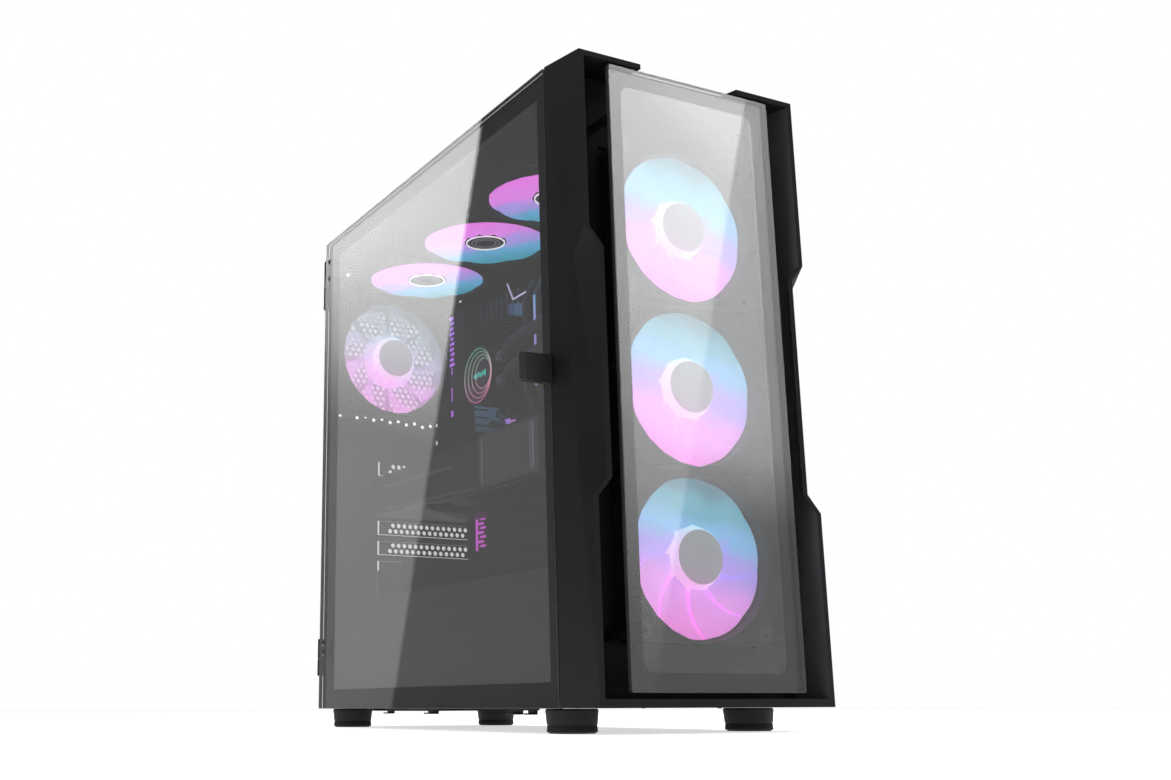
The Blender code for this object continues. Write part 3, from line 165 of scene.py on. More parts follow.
def mirrored(place, axis, plane):
    """Where a reflected eye sits behind a glass plane square to one axis."""
    twin = place.copy()
    twin[axis] = 2 * plane - place[axis]
    return twin


def cast_to(eye, point, axis, plane):
    """Where the ray from eye through point meets a plane square to one axis."""
    reach = (plane - eye[axis]) / (point[axis] - eye[axis])
    return eye + (point - eye) * reach


glass_only = bpy.data.collections.new("lit_by_cards")
CARD_FULL = 16.0


def set_stops(node, stops):
    """Gives a colour ramp its (position, colour) stops."""
    for _ in stops[2:]:
        node.color_ramp.elements.new(0.5)
    for element, (position, colour) in zip(node.color_ramp.elements, stops):
        element.position = position
        element.color = (*colour, 1.0)


def highlight_card(name, corners, lean, stops):
    """A glowing quad that only the glass reflects; its level follows the stops along a leaning axis."""
    mesh = bpy.data.meshes.new(name)
    mesh.from_pydata([tuple(c) for c in corners], [], [(0, 1, 2, 3)])
    card = bpy.data.objects.new(name, mesh)
    bpy.context.scene.collection.objects.link(card)
    glow = bpy.data.materials.new(name + "_glow")
    glow.use_nodes = True
    nodes, links = glow.node_tree.nodes, glow.node_tree.links
    nodes.remove(nodes["Principled BSDF"])
    emission = nodes.new("ShaderNodeEmission")
    coords = nodes.new("ShaderNodeTexCoord")
    along = nodes.new("ShaderNodeVectorMath")
    along.operation = "DOT_PRODUCT"
    along.inputs[1].default_value = lean
    links.new(coords.outputs["Object"], along.inputs[0])
    reach = nodes.new("ShaderNodeMapRange")
    heights = [c.dot(Vector(lean)) for c in corners]
    reach.inputs["From Min"].default_value = min(heights)
    reach.inputs["From Max"].default_value = max(heights)
    links.new(along.outputs["Value"], reach.inputs["Value"])
    ramp = nodes.new("ShaderNodeValToRGB")
    set_stops(ramp, [(position, [strength / CARD_FULL] * 3) for position, strength in stops])
    links.new(reach.outputs["Result"], ramp.inputs["Fac"])
    links.new(ramp.outputs["Color"], emission.inputs["Color"])
    emission.inputs["Strength"].default_value = CARD_FULL
    links.new(emission.outputs["Emission"], nodes["Material Output"].inputs["Surface"])
    mesh.materials.append(glow)
    for path in ("camera", "diffuse", "transmission", "volume_scatter", "shadow"):
        setattr(card, "visible_" + path, False)
    card.light_linking.receiver_collection = glass_only


door_plane = seam.x - half_width
front_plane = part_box("front_glass")[0].y
door_eye = mirrored(camera_place, 0, door_plane)
front_eye = mirrored(camera_place, 1, front_plane)
card_gap = 1.5
edge_top = 0.5


def door_card(name, edge_low, edge_high, stops):
    """A card the door shows between two slanted lines, each given by its y at the desk and at edge_top."""
    corners = []
    for y, z in ((edge_low[0], 0.0), (edge_high[0], 0.0), (edge_high[1], edge_top), (edge_low[1], edge_top)):
        corners.append(cast_to(door_eye, seam + Vector((-half_width, y, z)), 0, door_plane - card_gap))
    highlight_card(name, corners, (0.0, -0.30, 1.0), stops)


def front_card(name, edge_left, edge_right, lean, stops):
    """The same for the front glass, with x at the desk and at edge_top."""
    corners = []
    for x, z in ((edge_left[0], 0.0), (edge_right[0], 0.0),
                 (edge_right[1], edge_top), (edge_left[1], edge_top)):
        point = seam + Vector((x, front_plane - seam.y, z))
        corners.append(cast_to(front_eye, point, 1, front_plane - card_gap))
    highlight_card(name, corners, (lean, 0.0, 1.0), stops)


door_slant = (0.2752, 0.0942)
front_slant = (-0.063, 0.060)
door_card("door_wedge", door_slant, (0.60, 0.60),
          [(0.20, 1.35), (0.47, 1.55), (0.54, 1.60), (0.60, 2.5), (0.69, 4.7), (0.74, 5.8), (0.79, 7.4),
           (0.85, 8.4), (1.0, 8.9)])
door_card("door_haze", (-0.10, -0.10), door_slant, [(0.15, 0.40), (0.8, 0.30)])
front_card("front_wedge", (-0.20, -0.20), front_slant, 0.6,
           [(0.20, 1.7), (0.235, 1.9), (0.43, 5.0), (0.47, 6.2), (0.605, 8.1), (0.77, 9.7), (0.83, 10.3),
            (0.89, 12.4), (1.0, 12.8)])
front_card("front_haze", front_slant, (0.20, 0.20), 0.0,
           [(0.11, 1.4), (0.24, 1.4), (0.29, 1.65), (0.35, 3.5), (0.395, 5.2), (0.44, 5.7), (0.56, 5.85),
            (0.74, 6.7), (0.905, 7.7)])

# ------------------------------------------------------------------ base pan
# A pressed steel tray, powder coated black, folded up at its sides and riveted to the rear wall.
# The power supply breathes through the big opening in it.
TEXTURE_DISTANCE = 0.0002


def finish(name, colour, roughness, metallic=0.0, grain=900.0, bump=0.25, mottle=0.15, stretch=(1, 1, 1),
           **sockets):
    """A finish whose tone and gloss wander slowly, over a fine grain that also stands up a little."""
    material = bpy.data.materials.new(name)
    material.use_nodes = True
    nodes, links = material.node_tree.nodes, material.node_tree.links
    shader = nodes["Principled BSDF"]
    coords = nodes.new("ShaderNodeTexCoord")
    spread = nodes.new("ShaderNodeMapping")
    spread.inputs["Scale"].default_value = stretch
    links.new(coords.outputs["Object"], spread.inputs["Vector"])
    fine = nodes.new("ShaderNodeTexNoise")
    fine.inputs["Scale"].default_value = grain
    fine.inputs["Detail"].default_value = 2.0
    slow = nodes.new("ShaderNodeTexNoise")
    slow.inputs["Scale"].default_value = 22.0
    slow.inputs["Detail"].default_value = 4.0
    links.new(spread.outputs["Vector"], fine.inputs["Vector"])
    links.new(coords.outputs["Object"], slow.inputs["Vector"])
    blend = nodes.new("ShaderNodeMath")
    blend.operation = "MULTIPLY_ADD"
    blend.inputs[1].default_value = 0.6
    links.new(slow.outputs["Fac"], blend.inputs[0])
    share = nodes.new("ShaderNodeMath")
    share.operation = "MULTIPLY"
    share.inputs[1].default_value = 0.4
    links.new(fine.outputs["Fac"], share.inputs[0])
    links.new(share.outputs["Value"], blend.inputs[2])
    tone = nodes.new("ShaderNodeValToRGB")
    tone.color_ramp.elements[0].position = 0.3
    tone.color_ramp.elements[1].position = 0.7
    tone.color_ramp.elements[0].color = (*[c * (1 - mottle) for c in colour], 1.0)
    tone.color_ramp.elements[1].color = (*[min(1.0, c * (1 + mottle)) for c in colour], 1.0)
    links.new(blend.outputs["Value"], tone.inputs["Fac"])
    links.new(tone.outputs["Color"], shader.inputs["Base Color"])
    gloss = nodes.new("ShaderNodeMapRange")
    gloss.inputs["From Min"].default_value = 0.3
    gloss.inputs["From Max"].default_value = 0.7
    gloss.inputs["To Min"].default_value = max(0.0, roughness - 0.06)
    gloss.inputs["To Max"].default_value = min(1.0, roughness + 0.06)
    links.new(blend.outputs["Value"], gloss.inputs["Value"])
    links.new(gloss.outputs["Result"], shader.inputs["Roughness"])
    shader.inputs["Metallic"].default_value = metallic
    if bump:
        relief = nodes.new("ShaderNodeBump")
        relief.inputs["Strength"].default_value = bump
        relief.inputs["Distance"].default_value = TEXTURE_DISTANCE
        links.new(fine.outputs["Fac"], relief.inputs["Height"])
        links.new(relief.outputs["Normal"], shader.inputs["Normal"])
    for socket, value in sockets.items():
        shader.inputs[socket.replace("_", " ")].default_value = value
    return material


def soften(obj, width):
    """Rounds the sharp edges of a piece."""
    rounding = obj.modifiers.new("edges", "BEVEL")
    rounding.width = width
    rounding.segments = 2
    rounding.limit_method = "ANGLE"
    rounding.angle_limit = math.radians(38)


def dressed(node, material, edge=0.0003):
    """The CAD solid with its flat faces joined and its edges softly rounded, standing for the plain one."""
    body = frame["nodes"][node]["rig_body"]
    mesh = frame["nodes"][node].data.copy()
    mesh.name = node + "_skin"
    skin = bmesh.new()
    skin.from_mesh(mesh)
    bmesh.ops.remove_doubles(skin, verts=skin.verts, dist=0.000005)
    bmesh.ops.dissolve_limit(skin, angle_limit=math.radians(0.5), verts=skin.verts, edges=skin.edges)
    skin.to_mesh(mesh)
    skin.free()
    obj = bpy.data.objects.new(node + "_skin", mesh)
    bpy.context.scene.collection.objects.link(obj)
    if edge:
        soften(obj, edge)
    mesh.materials.clear()
    mesh.materials.append(material)
    mesh.shade_smooth()
    mesh.set_sharp_from_angle(angle=math.radians(32))
    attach(obj, body)
    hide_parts(node)
    return obj


powder_coat = finish("powder_coat", (0.011, 0.011, 0.012), 0.55, grain=1400.0, bump=0.35,
                     Specular_IOR_Level=0.30)
dressed("base_pan", powder_coat)


def circle(cx, cy, radius, segments, turn=0.0):
    step = 2 * math.pi / segments
    return [(cx + radius * math.cos(turn + i * step), cy + radius * math.sin(turn + i * step))
            for i in range(segments)]


def rectangle(x0, y0, x1, y1, corner=0.0, segments=5):
    if corner <= 0:
        return [(x0, y0), (x1, y0), (x1, y1), (x0, y1)]
    centres = [(x1 - corner, y1 - corner), (x0 + corner, y1 - corner),
               (x0 + corner, y0 + corner), (x1 - corner, y0 + corner)]
    return [(cx + corner * math.cos((quarter + i / segments) * math.pi / 2),
             cy + corner * math.sin((quarter + i / segments) * math.pi / 2))
            for quarter, (cx, cy) in enumerate(centres) for i in range(segments + 1)]


def inset(face, margin, corner=0.0, segments=5):
    """A rectangle a margin inside a face given as (u0, v0, u1, v1); a negative margin grows it."""
    u0, v0, u1, v1 = face
    return rectangle(u0 + margin, v0 + margin, u1 - margin, v1 - margin, corner, segments)


def centred(u, v, width, height, corner=0.0):
    return rectangle(u - width / 2, v - height / 2, u + width / 2, v + height / 2, corner)


PLANES = {"xy": lambda u, v, w: (u, v, w), "xz": lambda u, v, w: (u, w, v), "yz": lambda u, v, w: (w, u, v)}


def slab(bm, outline, low, high, plane, holes=()):
    """One closed plate: an outline with holes, from low to high along the third axis."""
    place = PLANES[plane]
    loops = [outline] + list(holes)
    flat = [point for loop in loops for point in loop]
    bottom = [bm.verts.new(place(u, v, low)) for u, v in flat]
    top = [bm.verts.new(place(u, v, high)) for u, v in flat]
    if len(flat) > 4:
        for a, b, c in tessellate_polygon([[Vector((u, v, 0)) for u, v in loop] for loop in loops]):
            bm.faces.new((bottom[a], bottom[b], bottom[c]))
            bm.faces.new((top[a], top[b], top[c]))
    else:
        bm.faces.new(bottom)
        bm.faces.new(top)
    start = 0
    for loop in loops:
        for i in range(len(loop)):
            a, b = start + i, start + (i + 1) % len(loop)
            bm.faces.new((bottom[a], bottom[b], top[b], top[a]))
        start += len(loop)


def block(bm, low, high):
    """A box between two corners."""
    slab(bm, rectangle(low[0], low[1], high[0], high[1]), low[2], high[2], "xy")


def lathe(bm, profile, segments):
    """Turns a (radius, height) profile about Z; radius 0 ends close the solid."""
    rings = []
    for radius, height in profile:
        if radius == 0:
            rings.append([bm.verts.new((0, 0, height))])
        else:
            rings.append([bm.verts.new((x, y, height)) for x, y in circle(0, 0, radius, segments)])
    for lower, upper in zip(rings, rings[1:]):
        for i in range(segments):
            j = (i + 1) % segments
            corners = {lower[i % len(lower)]: 0, lower[j % len(lower)]: 0,
                       upper[j % len(upper)]: 0, upper[i % len(upper)]: 0}
            if len(corners) > 2:
                bm.faces.new(list(corners))


def piece(name, bm, material, body="chassis", edge=0.0, smooth=True, turn=None, place=(0, 0, 0)):
    """Turns bm, drawn in the case's frame, into a piece that rides on a body."""
    bmesh.ops.recalc_face_normals(bm, faces=bm.faces)
    mesh = bpy.data.meshes.new(name)
    bm.to_mesh(mesh)
    bm.free()
    mesh.materials.append(material)
    obj = bpy.data.objects.new(name, mesh)
    bpy.context.scene.collection.objects.link(obj)
    obj.matrix_world = Matrix.Translation(seam + Vector(place)) @ (turn or Matrix.Identity(4))
    if edge:
        soften(obj, edge)
    if smooth:
        mesh.shade_smooth()
        mesh.set_sharp_from_angle(angle=math.radians(32))
    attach(obj, body)
    return obj


def blocks(name, boxes, material, edge=0.0003, body="chassis"):
    """Several boxes as one moulding or row, with rounded edges."""
    bm = bmesh.new()
    for low, high in boxes:
        block(bm, low, high)
    return piece(name, bm, material, body=body, edge=edge)


FACING = {"+z": Matrix.Identity(4), "-z": Matrix.Rotation(math.pi, 4, "X"),
          "+y": Matrix.Rotation(-math.pi / 2, 4, "X"), "-y": Matrix.Rotation(math.pi / 2, 4, "X"),
          "+x": Matrix.Rotation(math.pi / 2, 4, "Y"), "-x": Matrix.Rotation(-math.pi / 2, 4, "Y")}


def turnings(name, places, facing, profile, material, body="chassis", segments=20):
    """The same turned shape at several places: screws, rivets, sockets or pins."""
    bm = bmesh.new()
    for place in places:
        start = len(bm.verts)
        lathe(bm, profile, segments)
        bm.verts.ensure_lookup_table()
        bmesh.ops.transform(bm, matrix=Matrix.Translation(place) @ FACING[facing], verts=bm.verts[start:])
    return piece(name, bm, material, body=body)


def screw_profile(radius, height):
    """A domed head with a recess, standing on height 0."""
    return [(0, height * 0.25), (radius * 0.42, height * 0.25), (radius * 0.48, height),
            (radius * 0.70, height * 0.94), (radius * 0.94, height * 0.62), (radius, height * 0.15),
            (radius, 0)]


STEEL = 0.0012
tab_x = case_box("base_pan")[0].x + 0.0110
tab_low = 0.0124
blocks("pan_tabs", [box for y0, y1 in ((0.296, 0.309), (0.211, 0.229), (0.076, 0.094), (0.056, 0.068))
                    for box in (((tab_x, y0, tab_low), (tab_x + STEEL, y1, body_low)),
                                ((tab_x - 0.0050, y0 + 0.002, tab_low), (tab_x, y1 - 0.002, tab_low + STEEL)))],
       powder_coat)
rivet = [(0, 0.0009), (0.0016, 0.0007), (0.0024, 0.0)]
turnings("pan_rivets", [(side * 0.084, y, body_low) for side in (-1, 1) for y in (0.06, 0.16, 0.26, 0.35)],
         "-z", rivet, powder_coat, segments=14)

# ------------------------------------------------------------------ feet
# Round moulded feet with a ribbed flank and a soft pad ring, each held by one screw from inside.
foot_rubber = finish("foot_rubber", (0.010, 0.010, 0.010), 0.62, grain=700.0, bump=0.3,
                     Specular_IOR_Level=0.30)
pad_rubber = finish("pad_rubber", (0.020, 0.020, 0.020), 0.85, grain=500.0, bump=0.5,
                    Specular_IOR_Level=0.15)

for foot in ("foot_front_left", "foot_front_right", "foot_rear_left", "foot_rear_right"):
    low, high = case_box(foot)
    centre = ((low.x + high.x) / 2, (low.y + high.y) / 2, 0)
    radius, height = (high.x - low.x) / 2, high.z - low.z
    shape = bmesh.new()
    flank = [(0, 0.0022), (radius * 0.55, 0.0022), (radius * 0.58, 0.0006), (radius * 0.90, 0.0006)]
    flank += [(radius * 0.90 + 0.001, 0.0012), (radius * 0.94, height * 0.30),
              (radius * 0.925, height * 0.33), (radius * 0.955, height * 0.40), (radius * 0.99, height * 0.80),
              (radius, height - 0.0012), (radius - 0.0008, height), (0, height)]
    lathe(shape, flank, 48)
    body = piece(foot + "_shell", shape, foot_rubber, place=centre)
    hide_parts(foot)
    pad = bmesh.new()
    lathe(pad, [(radius * 0.62, 0.0009), (radius * 0.63, 0.0001), (radius * 0.86, 0.0),
                (radius * 0.88, 0.0009), (radius * 0.75, 0.0012), (radius * 0.62, 0.0009)], 48)
    piece(foot + "_pad", pad, pad_rubber, place=centre)
    turnings(foot + "_screw", [(centre[0], centre[1], 0.0024)], "-z", screw_profile(0.0044, 0.0016),
             powder_coat)

# ------------------------------------------------------------------ rear wall, roof, tray and shroud
# The chassis sheets: punched, folded and riveted 1.2 mm steel under the same powder coat.
# The tray's cable holes have moulded rubber lips, and the rear wall takes the fan's screws.
for sheet in ("rear_panel", "front_wall", "motherboard_tray", "psu_shroud", "roof", "drive_cage"):
    dressed(sheet, powder_coat)
wall_low, wall_high = case_box("rear_panel")
fan_low, fan_high = case_box("rear_fan_frame")
supply_low, supply_high = case_box("power_supply")
screw_steel = finish("screw_steel", (0.10, 0.10, 0.105), 0.35, metallic=0.9, grain=1500.0, bump=0.1)
fan_mid = (fan_low + fan_high) / 2
fan_corner = 0.0525
turnings("rear_fan_screws", [(fan_mid.x + sx * fan_corner, body_rear, fan_mid.z + sz * fan_corner)
                             for sx in (-1, 1) for sz in (-1, 1)],
         "+y", screw_profile(0.0040, 0.0022), screw_steel)
supply_holes = ((-0.069, 0.0245), (0.069, 0.0245), (-0.045, 0.1010), (0.069, 0.0900))
turnings("supply_screws", [(x, body_rear, z) for x, z in supply_holes], "+y",
         screw_profile(0.0038, 0.0021), screw_steel)
turnings("rear_rivets", [(x, body_rear, z) for x in (wall_low.x + 0.012, wall_high.x - 0.020)
                         for z in (0.112, 0.155, 0.245, 0.300, 0.380)],
         "+y", [(0, 0.0010), (0.0016, 0.0008), (0.0024, 0.0)], powder_coat, segments=14)

grommet_rubber = finish("grommet_rubber", (0.013, 0.013, 0.013), 0.8, grain=500.0, bump=0.4,
                        Specular_IOR_Level=0.1)
tray_face = case_box("motherboard_tray")[0].x
board_low, board_high = case_box("motherboard")
hole_width, hole_height = 0.030, 0.060
flaps, flap_pitch, slit = 7, 0.0070, 0.0008
lips = bmesh.new()
for rise in (0.025, 0.110, 0.195):
    y, z = board_low.y - 0.049, board_low.z + rise
    opening = (y, z, y + hole_width, z + hole_height)
    slab(lips, inset(opening, -0.003, 0.010), tray_face - 0.0022, tray_face, "yz",
         holes=[inset(opening, 0.002, 0.006)])
    for i in range(flaps):
        flap = z + 0.006 + i * flap_pitch
        block(lips, (tray_face - 0.0008, y + 0.001, flap),
              (tray_face, y + hole_width - 0.001, flap + flap_pitch - slit))
piece("cable_grommets", lips, grommet_rubber, edge=0.0004)
shroud_low, shroud_high = case_box("psu_shroud")
louvres = [((shroud_low.x + 0.018 + i * 0.010, 0.020 + j * 0.052, shroud_high.z),
            (shroud_low.x + 0.022 + i * 0.010, 0.064 + j * 0.052, shroud_high.z + 0.0004))
           for i in range(13) for j in range(2)]
blocks("shroud_louvres", louvres, powder_coat, edge=0.0)

# ------------------------------------------------------------------ side panel
# A plain painted steel skin on the right, slid in from behind and held by two knurled screws that
# stay captive in its rear flange.
dressed("right_side_panel", powder_coat, edge=0.0004)
turned_steel = finish("turned_steel", (0.06, 0.06, 0.065), 0.32, metallic=0.9, grain=1600.0, bump=0.15)
for name, body in (("thumbscrew_lower", "lower_thumbscrew"), ("thumbscrew_upper", "upper_thumbscrew")):
    low, high = case_box(name)
    middle = (low + high) / 2
    radius = (high.x - low.x) / 2
    head = high.y - 0.0080
    screw = bmesh.new()
    knurl = [(middle.x + radius * (1.0 if i % 2 else 0.93) * math.cos(math.pi * i / 30),
              middle.z + radius * (1.0 if i % 2 else 0.93) * math.sin(math.pi * i / 30)) for i in range(60)]
    shoulder = circle(middle.x, middle.z, radius * 0.90, 40)
    slab(screw, knurl, head + 0.0010, high.y - 0.0008, "xz")
    slab(screw, shoulder, head, head + 0.0010, "xz")
    slab(screw, shoulder, high.y - 0.0008, high.y - 0.0003, "xz",
         holes=[centred(middle.x, middle.z, 0.0084, STEEL)])
    slab(screw, circle(middle.x, middle.z, 0.0016, 20), low.y, head, "xz")
    knob = piece(name + "_knob", screw, turned_steel, body=body, edge=0.0001)
    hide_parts(name)
panel_low, panel_high = case_box("right_side_panel")
panel_face = (panel_low.y, panel_low.z, panel_high.y, panel_high.z)
bead = bmesh.new()
slab(bead, inset(panel_face, 0.012, 0.010, 8), panel_high.x - 0.0001, panel_high.x + 0.0004, "yz",
     holes=[inset(panel_face, 0.0145, 0.008, 8)])
piece("panel_bead", bead, powder_coat, body="right_panel", edge=0.0003)

# ------------------------------------------------------------------ fans
# Seven 120 mm fans: a black moulded frame and a frosted rotor that its hub lights from within.
# Four corner pads keep each frame off the steel.
frame_plastic = finish("frame_plastic", (0.012, 0.012, 0.013), 0.42, grain=1100.0, bump=0.2,
                       Specular_IOR_Level=0.35)


def glow_finish(name, axis, low, high, stops, strength, alpha=1.0):
    """Frosted plastic lit from within, and painted light on parts without a lamp: its colour runs from stop to
    stop along one axis.
    """
    material = bpy.data.materials.new(name)
    material.use_nodes = True
    nodes, links = material.node_tree.nodes, material.node_tree.links
    shader = nodes["Principled BSDF"]
    coords = nodes.new("ShaderNodeTexCoord")
    cloud = nodes.new("ShaderNodeTexNoise")
    cloud.inputs["Scale"].default_value = 26.0
    cloud.inputs["Detail"].default_value = 2.0
    links.new(coords.outputs["Object"], cloud.inputs["Vector"])
    along = nodes.new("ShaderNodeVectorMath")
    along.operation = "DOT_PRODUCT"
    along.inputs[1].default_value = axis
    links.new(coords.outputs["Object"], along.inputs[0])
    reach = nodes.new("ShaderNodeMapRange")
    reach.inputs["From Min"].default_value = low
    reach.inputs["From Max"].default_value = high
    links.new(along.outputs["Value"], reach.inputs["Value"])
    drift = nodes.new("ShaderNodeMath")
    drift.operation = "MULTIPLY_ADD"
    drift.inputs[1].default_value = 0.25
    drift.inputs[2].default_value = -0.125
    links.new(cloud.outputs["Fac"], drift.inputs[0])
    place = nodes.new("ShaderNodeMath")
    place.operation = "ADD"
    links.new(reach.outputs["Result"], place.inputs[0])
    links.new(drift.outputs["Value"], place.inputs[1])
    ramp = nodes.new("ShaderNodeValToRGB")
    ramp.color_ramp.interpolation = "EASE"
    set_stops(ramp, stops)
    links.new(place.outputs["Value"], ramp.inputs["Fac"])
    links.new(ramp.outputs["Color"], shader.inputs["Base Color"])
    links.new(ramp.outputs["Color"], shader.inputs["Emission Color"])
    shader.inputs["Emission Strength"].default_value = strength
    shader.inputs["Roughness"].default_value = 0.45
    shader.inputs["Alpha"].default_value = alpha
    return material


def blade_sheet(bm, hub_r, tip_r, depth, blades, sweep, overlap, rise=0.34, crest=0.62, thickness=0.0010,
                radial=8, chord=9):
    """Swept, cupped blades around a hub, each a thin closed skin; over 1, each overlaps the next."""
    pitch = 2 * math.pi / blades
    for number in range(blades):
        grids = []
        for lift in (-thickness / 2, thickness / 2):
            grid = []
            for i in range(radial):
                share = i / (radial - 1)
                row = []
                for j in range(chord):
                    along = j / (chord - 1)
                    width = pitch * overlap * (0.86 + 0.20 * share)
                    angle = number * pitch + sweep * share ** 1.4 + width * (along - 0.5)
                    droop = 0.012 * abs(2 * along - 1) ** 3 * share
                    radius = (hub_r + share * (tip_r - hub_r)) * (1 - droop)
                    height = depth * (crest - rise * along + 0.14 * math.sin(math.pi * along))
                    point = (radius * math.cos(angle), radius * math.sin(angle), height + lift)
                    row.append(bm.verts.new(point))
                grid.append(row)
            grids.append(grid)
        for i in range(radial - 1):
            for j in range(chord - 1):
                for grid in grids:
                    bm.faces.new((grid[i][j], grid[i + 1][j], grid[i + 1][j + 1], grid[i][j + 1]))
        end, edge = radial - 1, chord - 1
        border = ([(i, 0) for i in range(end)] + [(end, j) for j in range(edge)]
                  + [(i, edge) for i in range(end, 0, -1)] + [(0, j) for j in range(edge, 0, -1)])
        under, over = grids
        for (i, j), (k, m) in zip(border, border[1:] + border[:1]):
            bm.faces.new((under[i][j], under[k][m], over[k][m], over[i][j]))


def ring_profile(radius, half, low, high):
    """The section of a flat ring, half as wide to each side of its radius."""
    return [(radius - half, low), (radius + half, low), (radius + half, high), (radius - half, high),
            (radius - half, low)]


def bar(start, end, half):
    """The outline of a straight bar between two points, half as wide to each side of its middle line."""
    across = Vector((end[1] - start[1], start[0] - end[0])).normalized() * half
    return [(start[0] + across.x, start[1] + across.y), (start[0] - across.x, start[1] - across.y),
            (end[0] - across.x, end[1] - across.y), (end[0] + across.x, end[1] + across.y)]


fans = ["front_fan_1", "front_fan_2", "front_fan_3", "top_fan_1", "top_fan_2", "top_fan_3", "rear_fan"]
pink, orchid, violet = (0.84, 0.24, 0.74), (0.74, 0.30, 0.80), (0.40, 0.30, 0.78)
sky_blue, teal, dark_teal = (0.20, 0.45, 0.72), (0.12, 0.38, 0.48), (0.05, 0.17, 0.23)
front_stops = [(0.0, pink), (0.28, orchid), (0.50, violet), (0.68, sky_blue), (0.85, teal), (1.0, dark_teal)]
top_stops = [(0.0, (1.0, 0.24, 0.98)), (0.36, (0.90, 0.28, 0.98)), (0.55, (0.46, 0.36, 0.92)),
             (0.74, (0.12, 0.46, 0.74)), (1.0, (0.05, 0.38, 0.52))]
rear_stops = [(0.0, (0.80, 0.30, 0.76)), (0.30, (0.66, 0.30, 0.70)), (0.52, (0.34, 0.28, 0.48)),
              (0.72, (0.14, 0.20, 0.28)), (1.0, (0.07, 0.12, 0.16))]
upright = (0.15, 0.98, 0.0)
hub_cap = glow_finish("hub_cap", upright, -0.024, 0.024,
                      [(0.0, (0.52, 0.36, 0.52)), (0.45, (0.42, 0.42, 0.46)), (1.0, (0.40, 0.44, 0.45))],
                      0.45)
hub_flare = glow_finish("hub_flare", (0.30, 0.95, 0.0), -0.028, 0.028,
                        [(0.0, (0.90, 0.42, 0.82)), (0.40, (0.84, 0.62, 0.90)),
                         (1.0, (0.55, 0.80, 0.90))], 1.0)
dark_cap = finish("dark_cap", (0.010, 0.008, 0.014), 0.30, grain=900.0, bump=0.1)
pad_grey = finish("pad_grey", (0.05, 0.05, 0.052), 0.8, grain=600.0, bump=0.4)
ring_light = glow_finish("ring_light", (1.0, 0.0, 0.0), -0.02, 0.02,
                         [(0.0, (0.95, 0.90, 1.0)), (0.5, (1.0, 0.98, 0.95)), (1.0, (0.90, 0.97, 1.0))], 1.3)
# The faint glowing grey rings on the top fans' dark caps are painted highlights.
painted_ring_highlight = glow_finish("painted_ring_highlight", (1.0, 0.0, 0.0), -0.02, 0.02,
                         [(0.0, (0.40, 0.36, 0.50)), (0.5, (0.34, 0.34, 0.36)),
                          (1.0, (0.30, 0.36, 0.44))], 0.4)
hub_r, flare_r = 0.0205, 0.0290
